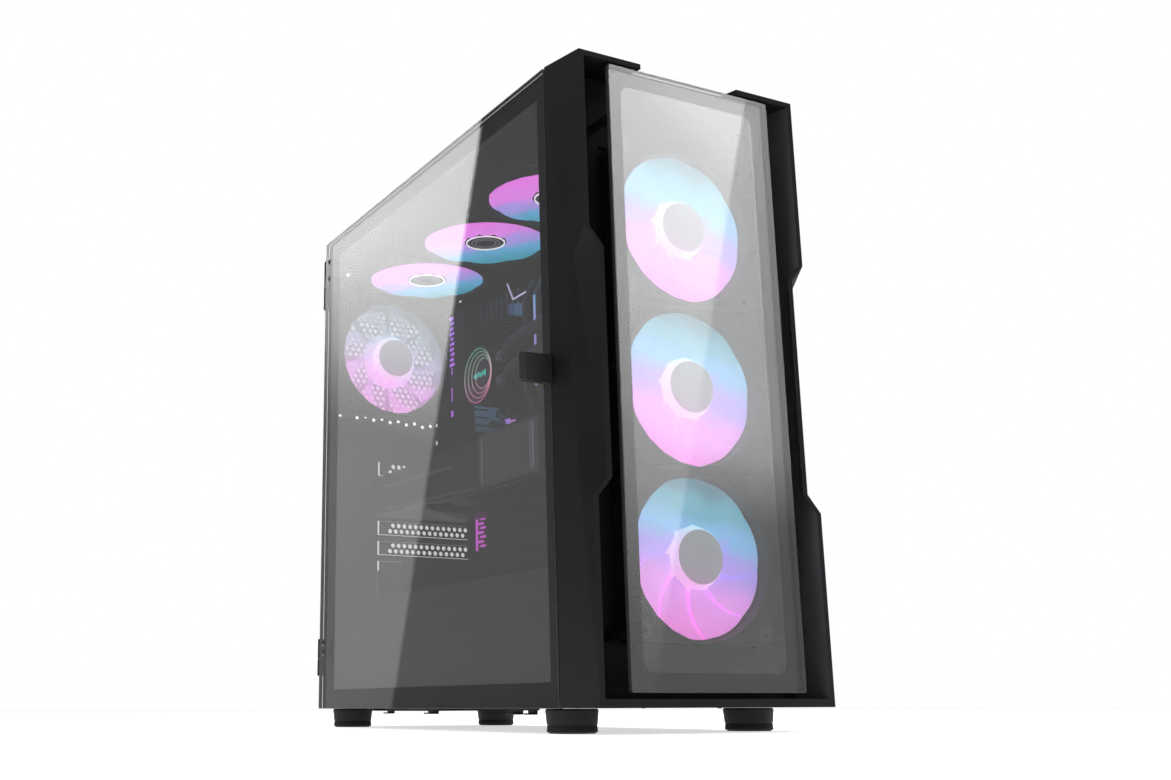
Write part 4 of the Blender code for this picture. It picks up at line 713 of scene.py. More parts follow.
for fan in fans:
    dressed(fan + "_frame", frame_plastic, edge=0.0006)
    low, high = case_box(fan + "_rotor")
    frame_low, frame_high = case_box(fan + "_frame")
    centre = (low + high) / 2
    hangs = fan.startswith("top")
    tip = (high.x - low.x) / 2
    if hangs:
        turn = FACING["-z"]
        back = Vector((centre.x, centre.y, high.z))
        frame_back = Vector((centre.x, centre.y, frame_high.z))
        depth, frame_depth = high.z - low.z, frame_high.z - frame_low.z
        glow = glow_finish(fan + "_glow", (0.80, -0.60, 0.0), -tip, tip, top_stops, 1.15)
    else:
        turn = FACING["-y"]
        back = Vector((centre.x, high.y, centre.z))
        frame_back = Vector((centre.x, frame_high.y, centre.z))
        depth, frame_depth = high.y - low.y, frame_high.y - frame_low.y
        stops, strength, alpha = (rear_stops, 1.3, 0.30) if fan == "rear_fan" else (front_stops, 1.0, 1.0)
        glow = glow_finish(fan + "_glow", upright, -tip, tip, stops, strength, alpha)
    spinner = fan + "_spinner"
    blades = bmesh.new()
    blade_sheet(blades, hub_r - 0.0004, tip, depth, 9, math.radians(26), 1.42,
                rise=0.10 if hangs else 0.30, crest=0.90 if hangs else 0.62)
    rotor = piece(fan + "_blades", blades, glow, body=spinner, turn=turn, place=back)
    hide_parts(fan + "_rotor")
    face = depth * 0.985
    foot_r = hub_r if hangs else flare_r
    hub = bmesh.new()
    lathe(hub, [(0, 0.0006), (foot_r - 0.002, 0.0006), (foot_r, 0.0020), (foot_r - 0.0010, depth * 0.16),
                ((foot_r + hub_r) / 2 - 0.0010, depth * 0.55), (hub_r, face - 0.0025),
                (hub_r - 0.0004, face - 0.0008), (hub_r - 0.0012, face - 0.0002), (0, face - 0.0002)], 64)
    piece(fan + "_hub", hub, dark_cap if hangs else hub_flare, body=spinner, turn=turn,
          place=back)
    cap_r = hub_r - 0.0045 if hangs else hub_r - 0.0012
    cap = bmesh.new()
    lathe(cap, [(0, face - 0.0001), (cap_r, face - 0.0001), (cap_r, face + 0.0002),
                (cap_r - 0.0004, face + 0.0006), (0, face + 0.0006)], 64)
    piece(fan + "_cap", cap, dark_cap if hangs else hub_cap, body=spinner, turn=turn,
          place=back)
    # The two inner rings on each top fan's cap are painted highlights.
    if hangs:
        for number, ring_r in enumerate((hub_r - 0.0026, hub_r - 0.0075, hub_r - 0.0110)):
            ring = bmesh.new()
            lathe(ring, ring_profile(ring_r, 0.0005, face, face + 0.0009), 64)
            piece("%s_ring_%d" % (fan, number + 1), ring, painted_ring_highlight if number else ring_light, body=spinner,
                  turn=turn, place=back)
    pads = bmesh.new()
    for sx in (-1, 1):
        for sy in (-1, 1):
            u, v = sx * fan_corner, sy * fan_corner
            for low_w, high_w in ((frame_depth - 0.0003, frame_depth + 0.0001), (-0.0001, 0.0003)):
                slab(pads, circle(u, v, 0.0060, 20), low_w, high_w, "xy", holes=[circle(u, v, 0.0026, 14)])
    piece(fan + "_pads", pads, pad_grey, turn=turn, place=frame_back)
    arms = bmesh.new()
    for i in range(4):
        lean = math.pi / 4 + i * math.pi / 2 + 0.22
        inner, outer = 0.018, 0.059
        near = (math.cos(lean) * inner, math.sin(lean) * inner)
        far = (math.cos(lean - 0.25) * outer, math.sin(lean - 0.25) * outer)
        slab(arms, bar(near, far, 0.0016), 0.0002, 0.0026, "xy")
    slab(arms, circle(0, 0, 0.0215, 48), 0.0002, 0.0014, "xy")
    piece(fan + "_arms", arms, frame_plastic, edge=0.0003, turn=turn, place=frame_back)

# A pale glowing sliver on the front wall between the second and third front fans is a painted glint.
glint = glow_finish("glint", (1.0, 0.0, 0.0), -0.03, 0.03,
                    [(0.0, (0.75, 0.72, 0.80)), (0.5, (0.80, 0.80, 0.84)), (1.0, (0.62, 0.60, 0.70))], 0.9)
glint_outline = bmesh.new()
slab(glint_outline, [(-0.0265, 0.1795), (-0.0050, 0.1812), (0.0285, 0.1925), (0.0060, 0.1868)],
     -0.0124, -0.0119, "xz")
slab(glint_outline, [(-0.0200, 0.1780), (-0.0120, 0.1776), (0.0020, 0.1790), (-0.0080, 0.1796)],
     -0.0124, -0.0119, "xz")
piece("painted_glint_sliver", glint_outline, glint, body="front_panel", smooth=False)

# ------------------------------------------------------------------ rear grille and slot covers
# Punched steel: a staggered honeycomb behind the rear fan, and covers in the empty card slots, each
# folded at its left end and held by a screw at its right end. The two lowest are plain.
def honeycomb(bm, centre, pitch, hole_r, low, high, plane, inside, reach=0.12, sides=12):
    """Joined hexagonal cells, each with a round hole, wherever inside(u, v) holds."""
    place = PLANES[plane]
    step = 2 * math.pi / sides
    count = int(reach / pitch) + 1
    for row in range(-count, count + 1):
        for column in range(-count, count + 1):
            u = centre[0] + (column + (row % 2) / 2) * pitch
            v = centre[1] + row * pitch * math.sqrt(3) / 2
            if not inside(u, v):
                continue
            rims = []
            for w in (low, high):
                hole = [bm.verts.new(place(*point, w)) for point in circle(u, v, hole_r, sides)]
                cell = []
                for i in range(sides):
                    spread = (i * step) % (math.pi / 3)
                    edge_r = pitch / 2 / math.cos(spread - math.pi / 3 if spread > math.pi / 6 else spread)
                    cell.append(bm.verts.new(place(u + edge_r * math.cos(i * step),
                                                   v + edge_r * math.sin(i * step), w)))
                rims.append((hole, cell))
            for i in range(sides):
                j = (i + 1) % sides
                for hole, cell in rims:
                    bm.faces.new((hole[i], hole[j], cell[j], cell[i]))
                bm.faces.new((rims[0][0][i], rims[0][0][j], rims[1][0][j], rims[1][0][i]))


grille_low, grille_high = case_box("rear_fan_grille")
grille_centre = ((grille_low.x + grille_high.x) / 2, (grille_low.z + grille_high.z) / 2)
mesh_pitch, mesh_hole = 0.0064, 0.00255
grille = bmesh.new()
honeycomb(grille, grille_centre, mesh_pitch, mesh_hole, grille_low.y, grille_high.y, "xz",
          lambda u, v: math.hypot(u - grille_centre[0], v - grille_centre[1]) < 0.0565)
slab(grille, rectangle(grille_low.x, grille_low.z, grille_high.x, grille_high.z, 0.003),
     grille_low.y, grille_high.y, "xz", holes=[circle(*grille_centre, 0.0570, 96)])
grille_piece = piece("rear_grille_mesh", grille, powder_coat, smooth=False)
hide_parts("rear_fan_grille")

cover_low, cover_high = case_box("slot_covers")
slot_pitch, slot_count, slot_open = 0.02032, 7, 0.0142
first_slot = cover_low.z + (slot_open + 0.002) / 2
card_slots, plain_slots = (4, 5), (0, 1)
vent_pitch, vent_r = 0.00646, 0.00235
covers = bmesh.new()
cover_left, cover_right = cover_low.x, cover_high.x - 0.0030
cover_half, hook_half = 0.0066, 0.0075
for number in range(slot_count):
    if number in card_slots:
        continue
    z = first_slot + number * slot_pitch
    vents = [] if number in plain_slots else [
        circle(cover_left + 0.0120 + (i + shift) * vent_pitch, z + row * 0.0058, vent_r, 12)
        for row, shift in ((-0.5, 0.0), (0.5, 0.5)) for i in range(14)]
    slab(covers, rectangle(cover_left, z - cover_half, cover_right, z + cover_half), cover_low.y,
         cover_high.y, "xz", holes=vents)
    block(covers, (cover_left, cover_low.y - 0.0030, z - cover_half),
          (cover_left + 0.0010, cover_low.y, z + cover_half))
    block(covers, (cover_right, cover_low.y - 0.0095, z - hook_half),
          (cover_right + STEEL, cover_high.y, z + hook_half))
covers_piece = piece("vented_slot_covers", covers, powder_coat, smooth=False)
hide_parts("slot_covers")
turnings("slot_screws", [(cover_right + 0.0012, cover_low.y - 0.0050, first_slot + number * slot_pitch)
                         for number in range(slot_count)],
         "+x", screw_profile(0.0034, 0.0022), screw_steel)
blank_left, blank_half, sheet = cover_left - 0.0022, 0.0085, 0.0005
second_slot = first_slot + slot_pitch
sealed = [((blank_left, first_slot - blank_half), (cover_high.x, first_slot + blank_half)),
          ((cover_left + 0.0250, second_slot - blank_half), (cover_high.x, second_slot + blank_half)),
          ((blank_left, second_slot - blank_half), (cover_left + 0.0300, second_slot - 0.0030))]
blanks = bmesh.new()
for (x0, z0), (x1, z1) in sealed:
    block(blanks, (x0, cover_low.y - 0.0001 - sheet, z0), (x1, cover_low.y - 0.0001, z1))
for z0, z1 in ((0.2640, 0.2868), (0.2912, 0.3062)):
    block(blanks, (0.0276, wall_low.y - 0.0001 - sheet, z0), (0.0304, wall_low.y - 0.0001, z1))
piece("slot_blanks", blanks, powder_coat, smooth=False)
# White glowing discs on the rear wall's inner face are painted light, standing in for daylight through small
# punched holes.
punch_y = wall_low.y - 0.0002
punched = [(-0.0820 + i * 0.0094, punch_y, 0.3085 - i * 0.0004 + 0.0024 * (i % 2)) for i in range(12)]
punched += [(x, punch_y, z) for x, z in ((-0.0754, 0.4604), (-0.0863, 0.4279),
                                         (0.0582, 0.4506), (0.0292, 0.2950))]
leak = glow_finish("daylight", (1.0, 0.0, 0.0), -0.1, 0.1,
                   [(0.0, (0.95, 0.95, 0.95)), (0.5, (1.0, 1.0, 1.0)), (1.0, (0.95, 0.95, 0.95))], 1.6)
turnings("painted_daylight_spots", punched, "-y", [(0, 0.0001), (0.0014, 0.0001), (0.0018, 0.0)], leak,
         segments=10)

# ------------------------------------------------------------------ main board
# A black circuit board with its chokes, capacitors, sockets, finned power-stage block and shields,
# held to the tray by nine screws. A few small parts of it glow.
board_mask = finish("board_mask", (0.010, 0.011, 0.013), 0.40, grain=500.0, bump=0.2)
dark_aluminium = finish("dark_aluminium", (0.05, 0.052, 0.056), 0.38, metallic=0.8, grain=1500.0, bump=0.15,
                        stretch=(1, 0.05, 1))
choke_grey = finish("choke_grey", (0.055, 0.055, 0.060), 0.5, grain=800.0, bump=0.3)
can_metal = finish("can_metal", (0.16, 0.16, 0.17), 0.35, metallic=0.8, grain=900.0, bump=0.1)
gold = finish("gold", (0.42, 0.30, 0.10), 0.30, metallic=1.0, grain=900.0, bump=0.1)
face_x = board_high.x - 0.0016
dressed("motherboard", board_mask, edge=0.0002)
dressed("board_heatsink", dark_aluminium)
pump_low, pump_high = case_box("pump_head")
pump_y, pump_z = pump_high.y - 0.034, (pump_low.z + pump_high.z) / 2
blocks("board_chokes", [((face_x - 0.0060, pump_y + 0.0375, pump_z - 0.030 + i * 0.0105),
                         (face_x, pump_y + 0.0455, pump_z - 0.022 + i * 0.0105)) for i in range(6)],
       choke_grey, edge=0.0008)
turnings("board_capacitors",
         [(face_x, pump_y + 0.034, pump_z - 0.046 + i * 0.0088) for i in range(4)]
         + [(face_x, board_low.y + 0.030 + i * 0.009, board_low.z + 0.018) for i in range(5)]
         + [(face_x, pump_y - 0.030 + i * 0.0092, board_low.z + 0.135) for i in range(6)],
         "-x", [(0, 0.0074), (0.0022, 0.0074), (0.0030, 0.0068), (0.0030, 0.0012), (0.0034, 0.0008),
                (0.0034, 0)], can_metal)
# The fins glow a dim blue, brighter towards the top: painted light on a heatsink that has no lamp.
fins_painted_glow = glow_finish("fins_painted_glow", (0.0, 0.0, 1.0), 0.27, 0.42,
                        [(0.0, (0.020, 0.035, 0.060)), (0.5, (0.040, 0.090, 0.150)),
                         (1.0, (0.050, 0.120, 0.190))], 1.3)
fin_y, fin_pitch_z, fin_height = pump_y + 0.0475, 0.0082, 0.0058
fins = [((0.0435, fin_y, pump_z - 0.045 + i * fin_pitch_z),
         (face_x, fin_y + 0.0030, pump_z - 0.045 + i * fin_pitch_z + fin_height)) for i in range(11)]
fins.append(((0.0600, fin_y - 0.002, pump_z - 0.046), (face_x, fin_y + 0.0030, pump_z + 0.044)))
blocks("stage_fins", fins, fins_painted_glow, edge=0.0004)
shield_z = first_slot + 2 * slot_pitch - 0.004
shields = [((0.0050, 0.078, shield_z - board_low.z), (0.0, 0.184, shield_z - board_low.z + 0.0130)),
           ((0.0055, 0.020, 0.030), (0.0, 0.066, 0.078)),
           ((0.0070, 0.024, 0.034), (0.0050, 0.062, 0.050))]
blocks("board_shields", [((face_x - x0, board_low.y + y0, board_low.z + z0),
                          (face_x - x1, board_low.y + y1, board_low.z + z1))
                         for (x0, y0, z0), (x1, y1, z1) in shields], dark_aluminium, edge=0.0010)
turnings("board_screws", [(face_x, board_low.y + y, board_low.z + z) for y in (0.010, 0.135, 0.237)
                          for z in (0.012, 0.142, 0.297)],
         "-x", screw_profile(0.0031, 0.0019), screw_steel)
purple_light = glow_finish("purple_light", (0.0, 0.0, 1.0), 0.15, 0.45,
                           [(0.0, (0.85, 0.12, 0.80)), (0.5, (0.62, 0.16, 0.90)),
                            (1.0, (0.44, 0.22, 0.95))], 0.9)
lamp_rise = 0.0022
stripes = [((face_x - lamp_rise, 0.4050 + 0.0045 * (i % 2), 0.1790 + i * 0.0047),
            (face_x, 0.4130 + 0.0045 * (i % 2), 0.1812 + i * 0.0047)) for i in range(7)]
stripes.append(((face_x - lamp_rise, 0.4215, 0.1760), (face_x, 0.4230, 0.2140)))
blocks("audio_stripes", stripes, purple_light, edge=0.0)
violet_light = glow_finish("violet_light", (0.0, 1.0, 0.0), 0.34, 0.38,
                           [(0.0, (0.62, 0.30, 0.70)), (0.5, (0.34, 0.22, 0.95)),
                            (1.0, (0.45, 0.30, 0.95))], 0.9)
beacon_face = face_x - 0.0024
blocks("board_beacons", [((beacon_face, 0.3500, 0.2985), (face_x, 0.3640, 0.3035)),
                         ((beacon_face, 0.3400, 0.2990), (face_x, 0.3485, 0.3005))],
       violet_light)
socket_y = board_low.y + 0.0010
pin_pitch = 0.0042
turnings("power_socket_pins",
         [(face_x - 0.0110, socket_y + 0.0028 + side * pin_pitch, board_low.z + 0.1600 + i * pin_pitch)
          for side in (0, 1) for i in range(12)],
         "-x", [(0, 0.0012), (0.0007, 0.0011), (0.0009, 0.0)], gold, segments=8)

# ------------------------------------------------------------------ memory
# Two modules in brushed aluminium spreaders, each under a diffuser bar; only the second one's bar glows.
memory_stops = [(0.0, (0.60, 0.24, 0.82)), (0.5, (0.48, 0.40, 0.92)), (1.0, (0.10, 0.60, 0.80))]
memory_light = glow_finish("memory_light", (0.0, 0.0, 1.0), 0.31, 0.41, memory_stops, 0.8)
for node in ("memory_1", "memory_2"):
    dressed(node, dark_aluminium)
    low, high = case_box(node)
    middle = (low.y + high.y) / 2
    diffuser = bmesh.new()
    slab(diffuser, [(low.x - 0.0012, low.z + 0.0225), (low.x - 0.0012, high.z - 0.0225),
                    (low.x + 0.0004, high.z - 0.0215), (low.x + 0.0004, low.z + 0.0215)],
         middle - 0.0012, middle + 0.0012, "xz")
    piece(node + "_diffuser", diffuser, memory_light if node == "memory_2" else choke_grey,
          edge=0.0003)
    ribs = [((low.x + 0.004 + i * 0.0056, low.y - 0.0004, low.z + 0.024 + 0.0030 * (i % 2)),
             (low.x + 0.0068 + i * 0.0056, high.y + 0.0004, high.z - 0.024 - 0.0030 * (i % 2)))
            for i in range(5)]
    blocks(node + "_ribs", ribs, dark_aluminium, edge=0.0004)
blocks("memory_latches", [((face_x - 0.0130, board_low.y + 0.0680 - i * 0.0098 - 0.0026, z),
                           (face_x - 0.0040, board_low.y + 0.0680 - i * 0.0098 + 0.0026, z + 0.0050))
                          for i in range(4) for z in (board_low.z + 0.1545, board_low.z + 0.2935)],
       frame_plastic, edge=0.0006)

# ------------------------------------------------------------------ heatsink lip and light line
# A thin extruded lip along the front of the power-stage heatsink, with an angled light line let
# into its edge and a row of blades whose blue glow is painted light from it.
sink_face = case_box("board_heatsink")[0].x
pale_light = glow_finish("pale_light", (0.0, 1.0, 0.0), 0.24, 0.31,
                         [(0.0, (0.60, 0.55, 0.80)), (0.5, (0.75, 0.70, 0.92)),
                          (1.0, (0.55, 0.55, 0.80))], 0.9)
edge_line = bmesh.new()
slab(edge_line, [(0.3050, 0.4296), (0.2939, 0.4098), (0.2472, 0.4110), (0.2472, 0.4122), (0.2930, 0.4110),
                 (0.3040, 0.4303)], sink_face - 0.0012, sink_face - 0.0002, "yz")
extrusion = bmesh.new()
slab(extrusion, [(0.3056, 0.4292), (0.2946, 0.4088), (0.2470, 0.4100), (0.2470, 0.4124), (0.2925, 0.4116),
                 (0.3030, 0.4306)], sink_face - 0.0002, face_x, "yz")
piece("heatsink_lip", extrusion, dark_aluminium, edge=0.0002)
piece("heatsink_light_line", edge_line, pale_light, smooth=False)
painted_blue_light = glow_finish("painted_blue_light", (0.0, 1.0, 0.0), 0.25, 0.31,
                        [(0.0, (0.05, 0.16, 0.24)), (0.5, (0.04, 0.12, 0.20)),
                         (1.0, (0.02, 0.04, 0.08))], 0.8)
blocks("heatsink_blades", [((sink_face - 0.0030, 0.2520 + i * 0.0100, 0.3830 + 0.0030 * i),
                            (face_x, 0.2590 + i * 0.0100, 0.3960 + 0.0026 * i)) for i in range(5)],
       painted_blue_light, edge=0.0006)

# ------------------------------------------------------------------ rear sockets and their cover
# A faceted plastic cover with glowing marks on its side. Behind it are a plain network socket and
# four USB sockets, each with its metal shell and its blue tongue.
dressed("io_cover", frame_plastic)
io_low, io_high = case_box("io_cover")
dashes = [(0.3935 + 0.0016 * (i % 2), 0.3650 + i * 0.0056, 0.4035 - 0.0012 * (i % 3), 0.3682 + i * 0.0056)
          for i in range(10)]
dashes += [(0.3982, 0.3560, 0.3998, 0.3630), (0.3982, 0.3270, 0.3996, 0.3420),
           (0.3966, 0.3110, 0.4012, 0.3170)]
blocks("cover_marks", [((io_low.x - 0.0004, y0, z0), (io_low.x + 0.0002, y1, z1))
                       for y0, z0, y1, z1 in dashes], purple_light, edge=0.0)
teal_light = glow_finish("teal_light", (0.0, 1.0, 0.0), 0.33, 0.38,
                         [(0.0, (0.06, 0.62, 0.52)), (0.5, (0.10, 0.80, 0.66)),
                          (1.0, (0.05, 0.50, 0.44))], 0.9)
blocks("status_lamps", [((beacon_face, 0.3630, 0.2760), (face_x, 0.3690, 0.2810)),
                        ((beacon_face, 0.3710, 0.2745), (face_x, 0.3745, 0.2775))],
       teal_light)
shell_metal = finish("shell_metal", (0.30, 0.30, 0.31), 0.28, metallic=1.0, grain=1200.0, bump=0.1)
tongue_plastic = finish("tongue_plastic", (0.02, 0.09, 0.30), 0.45, grain=800.0, bump=0.2)
port_x = (io_low.x + io_high.x) / 2 - 0.0014
usb_width, usb_height, usb_rise, usb_skin = 0.0134, 0.0058, 0.0100, 0.0004
port_low = io_low.z + 0.0560
shells, tongues = bmesh.new(), bmesh.new()
for side in (-1, 1):
    for row in (0, 1):
        x, z = port_x + side * 0.0100, port_low + row * usb_rise
        slab(shells, centred(x, z, usb_width, usb_height), wall_high.y - 0.0190, wall_high.y - 0.0070, "xz",
             holes=[centred(x, z, usb_width - 2 * usb_skin, usb_height - 2 * usb_skin)])
        block(tongues, (x - 0.0055, wall_high.y - 0.0182, z + 0.0004),
              (x + 0.0055, wall_high.y - 0.0080, z + 0.0022))
piece("rear_port_shells", shells, shell_metal, edge=0.0001)
piece("rear_port_tongues", tongues, tongue_plastic, edge=0.0002)

# ------------------------------------------------------------------ liquid cooler
# A round pump head with concentric light rings, two braided hoses with crimped ends, and a long
# radiator of flat tubes and folded fins between its two tanks, fixed under the roof.
dressed("pump_head", frame_plastic)
pump_glow = glow_finish("pump_glow", (-0.25, 0.97, 0.0), -0.028, 0.028,
                        [(0.0, (0.12, 0.62, 0.36)), (0.30, (0.42, 0.60, 0.44)), (0.55, (0.78, 0.56, 0.50)),
                         (1.0, (0.86, 0.24, 0.46))], 0.75)
ring_turn = FACING["-x"] @ Matrix.Rotation(math.pi / 2, 4, "Z")
for number in range(4):
    ring = bmesh.new()
    lathe(ring, ring_profile(0.0272 - number * 0.0040, 0.0003, 0.0, 0.0006), 72)
    piece("pump_ring_%d" % (number + 1), ring, pump_glow, turn=ring_turn,
          place=(pump_low.x + 0.0001, pump_y - number * 0.0036, pump_z))
turnings("pump_face", [(pump_low.x, pump_y, pump_z)], "-x",
         [(0, 0.0002), (0.0262, 0.0002), (0.0264, 0.0), (0.0286, 0.0), (0.0290, 0.0008), (0.0298, 0.0006),
          (0.0300, -0.0010)], dark_cap, segments=64)
mark_y = pump_y - 0.0160
blocks("pump_marks", [((pump_low.x - 0.0009, mark_y + i * 0.0042, pump_z - 0.0030 + 0.0010 * (i % 2)),
                       (pump_low.x - 0.0001, mark_y + 0.0020 + i * 0.0042,
                        pump_z + 0.0030 - 0.0008 * (i % 3)))
                      for i in range(6)], teal_light, edge=0.0)
turnings("pump_screws", [(pump_high.x - 0.0075, pump_y + sy * 0.0385, pump_z + sz * 0.0385)
                         for sy in (-1, 1) for sz in (-1, 1)],
         "-x", [(0, 0.0090), (0.0030, 0.0088), (0.0042, 0.0078), (0.0042, 0.0030), (0.0020, 0.0026),
                (0.0020, -0.0070)], screw_steel)


def weave_finish(name, dark, light, count, roughness):
    """Braided sleeve: two crossing bands of yarn that also stand proud of each other."""
    material = finish(name, dark, roughness, grain=900.0, bump=0.0)
    nodes, links = material.node_tree.nodes, material.node_tree.links
    shader = nodes["Principled BSDF"]
    coords = nodes.new("ShaderNodeTexCoord")
    heights = []
    for lean in (0.8, -0.8):
        spin = nodes.new("ShaderNodeMapping")
        spin.inputs["Rotation"].default_value = (lean, lean, 0.0)
        links.new(coords.outputs["Object"], spin.inputs["Vector"])
        wave = nodes.new("ShaderNodeTexWave")
        wave.inputs["Scale"].default_value = count
        links.new(spin.outputs["Vector"], wave.inputs["Vector"])
        heights.append(wave.outputs["Fac"])
    cross = nodes.new("ShaderNodeMath")
    cross.operation = "MULTIPLY"
    links.new(heights[0], cross.inputs[0])
    links.new(heights[1], cross.inputs[1])
    yarn = nodes.new("ShaderNodeValToRGB")
    yarn.color_ramp.elements[0].color = (*dark, 1.0)
    yarn.color_ramp.elements[1].color = (*light, 1.0)
    links.new(cross.outputs["Value"], yarn.inputs["Fac"])
    links.new(yarn.outputs["Color"], shader.inputs["Base Color"])
    relief = nodes.new("ShaderNodeBump")
    relief.inputs["Strength"].default_value = 0.8
    relief.inputs["Distance"].default_value = TEXTURE_DISTANCE
    links.new(cross.outputs["Value"], relief.inputs["Height"])
    links.new(relief.outputs["Normal"], shader.inputs["Normal"])
    return material


braid = weave_finish("hose_braid", (0.008, 0.008, 0.008), (0.032, 0.032, 0.034), 160.0, 0.62)
for node in ("cooler_hose_1", "cooler_hose_2"):
    dressed(node, braid, edge=0.0)
hose_r = 0.0055
hose_x, hose_rise = face_x - 0.0425, 0.0120
collar = [(hose_r - 0.0007, 0.0), (hose_r + 0.0006, 0.0), (hose_r + 0.0008, 0.0010),
          (hose_r + 0.0004, 0.0018), (hose_r + 0.0008, 0.0026), (hose_r + 0.0008, 0.0082),
          (hose_r + 0.0002, 0.0092), (hose_r - 0.0007, 0.0092)]
turnings("hose_collars_pump", [(hose_x, pump_y - 0.0300, pump_z + sign * hose_rise) for sign in (-1, 1)],
         "-y", collar, can_metal, segments=28)
cool_low, cool_high = case_box("radiator")
core_low = cool_low.z + 0.0100
tank_y = cool_low.y + 0.0170
core_x = (cool_low.x + cool_high.x) / 2
hose_shifts = (-0.0114, 0.0186)
turnings("hose_collars_tank", [(core_x + shift, tank_y, core_low) for shift in hose_shifts],
         "-z", collar, can_metal, segments=28)
tanks = bmesh.new()
tank_depth, end_depth, rail = 0.0330, 0.0120, 0.0030
block(tanks, (cool_low.x, cool_low.y, core_low), (cool_high.x, cool_low.y + tank_depth, cool_high.z))
block(tanks, (cool_low.x, cool_high.y - end_depth, core_low), (cool_high.x, cool_high.y, cool_high.z))
for x in (cool_low.x, cool_high.x - rail):
    block(tanks, (x, cool_low.y + tank_depth, core_low), (x + rail, cool_high.y - end_depth, cool_high.z))
for shift in hose_shifts:
    slab(tanks, circle(core_x + shift, tank_y, hose_r - 0.0008, 20), cool_low.z, core_low, "xy")
tank_piece = piece("radiator_tanks", tanks, frame_plastic, edge=0.0012)
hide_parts("radiator")
core = bmesh.new()
tube_pitch, tube_width, fin_pitch = 0.0095, 0.0018, 0.0024
tubes = int((cool_high.x - cool_low.x - 2 * rail) / tube_pitch)
start_y, end_y = cool_low.y + tank_depth, cool_high.y - end_depth
for number in range(tubes + 1):
    x = cool_low.x + rail + number * tube_pitch
    block(core, (x, start_y, core_low + 0.0012), (x + tube_width, end_y, cool_high.z - 0.0012))
    if number == tubes:
        continue
    folds = int((end_y - start_y) / fin_pitch)
    for i in range(folds):
        near, far = x + tube_pitch, x + tube_width
        if i % 2:
            near, far = far, near
        y = start_y + i * fin_pitch
        corners = [core.verts.new(p) for z in (core_low + 0.0018, cool_high.z - 0.0018)
                   for p in ((near, y, z), (far, y + fin_pitch, z))]
        core.faces.new((corners[0], corners[1], corners[3], corners[2]))
piece("radiator_core", core, dark_aluminium, smooth=False)

# ------------------------------------------------------------------ graphics card
# A long card in a two-tone plastic shroud with three fans below, a steel backplate on top and a
# two-slot bracket with its display sockets behind.
card_plastic = finish("card_plastic", (0.020, 0.020, 0.021), 0.40, grain=1000.0, bump=0.2,
                      Specular_IOR_Level=0.4)
card_grey = finish("card_grey", (0.085, 0.085, 0.090), 0.42, grain=1000.0, bump=0.2)
dressed("graphics_card", card_plastic)
card_low, card_high = case_box("graphics_card")
nose = bmesh.new()
slab(nose, [(card_low.y + 0.004, card_low.z + 0.003), (card_low.y + 0.098, card_low.z + 0.003),
            (card_low.y + 0.102, card_low.z + 0.010), (card_low.y + 0.102, card_high.z - 0.002),
            (card_low.y + 0.004, card_high.z - 0.002)], card_low.x - 0.0008, card_low.x + 0.0002, "yz")
piece("card_nose_plate", nose, card_grey, edge=0.0005)
# The pale, faintly glowing vertical bands on the card's nose are painted highlights.
card_highlight_band = glow_finish("card_highlight_band", (0.0, 0.0, 1.0), 0.19, 0.25,
                        [(0.0, (0.15, 0.15, 0.17)), (0.5, (0.20, 0.19, 0.23)),
                         (1.0, (0.16, 0.16, 0.20))], 0.3)
blocks("card_nose_highlights", [((card_low.x - 0.0013, card_low.y + shift, card_low.z + 0.006),
                            (card_low.x - 0.0005, card_low.y + shift + width, card_high.z - 0.004))
                           for shift, width in ((0.0100, 0.0030), (0.0152, 0.0012), (0.0950, 0.0016))],
       card_highlight_band)
# Thin lighter grey strips along the card's side are painted highlights on its edges.
edge_highlights = bmesh.new()
slab(edge_highlights, [(card_low.y + 0.108, card_low.z + 0.006), (card_low.y + 0.112, card_low.z + 0.0045),
            (card_high.y - 0.040, card_low.z + 0.0110), (card_high.y - 0.030, card_low.z + 0.0128),
            (card_low.y + 0.150, card_low.z + 0.0080)], card_low.x + 0.0030, card_low.x + 0.0042, "yz")
slab(edge_highlights, [(card_low.y + 0.160, card_low.z + 0.030), (card_high.y - 0.030, card_low.z + 0.034),
            (card_high.y - 0.030, card_low.z + 0.036), (card_low.y + 0.160, card_low.z + 0.033)],
     card_low.x + 0.0030, card_low.x + 0.0042, "yz")
piece("card_edge_highlights", edge_highlights, card_grey, edge=0.0002)
plate = bmesh.new()
plate_z = card_high.z - 0.0023
plate_right = face_x - 0.0140
slab(plate, rectangle(card_low.x + 0.0060, card_low.y + 0.004, plate_right, card_high.y - 0.006, 0.004),
     plate_z, plate_z + 0.0012, "xy",
     holes=[rectangle(card_low.x + 0.020 + i * 0.011, card_low.y + 0.020, card_low.x + 0.024 + i * 0.011,
                      card_low.y + 0.080, 0.0015) for i in range(7)]
     + [circle(x, y, 0.0022, 16) for x in (-0.010, 0.040) for y in (0.235, 0.300)])
piece("card_backplate", plate, dark_aluminium, edge=0.0003)
turnings("card_screws", [(x, y, plate_z + 0.0012) for x in (-0.034, 0.046)
                         for y in (0.108, 0.205, 0.320, 0.415)], "+z",
         screw_profile(0.0028, 0.0012), screw_steel)
ports = bmesh.new()
port_y = card_high.y
for number in range(4):
    x = -0.024 + number * 0.0225
    outline = [(x - 0.0085, -0.0025), (x + 0.0085, -0.0025), (x + 0.0085, 0.0015), (x + 0.0070, 0.0028),
               (x - 0.0085, 0.0028)]
    middle = first_slot + 5 * slot_pitch
    slab(ports, [(u, middle + v) for u, v in outline], port_y - 0.0004, port_y + 0.0016, "xz",
         holes=[[(x + (u - x) * 0.88, middle + v * 0.72) for u, v in outline]])
    block(ports, (x - 0.0060, port_y - 0.0002, middle - 0.0006),
          (x + 0.0060, port_y + 0.0010, middle + 0.0006))
piece("card_display_sockets", ports, shell_metal, edge=0.0001)
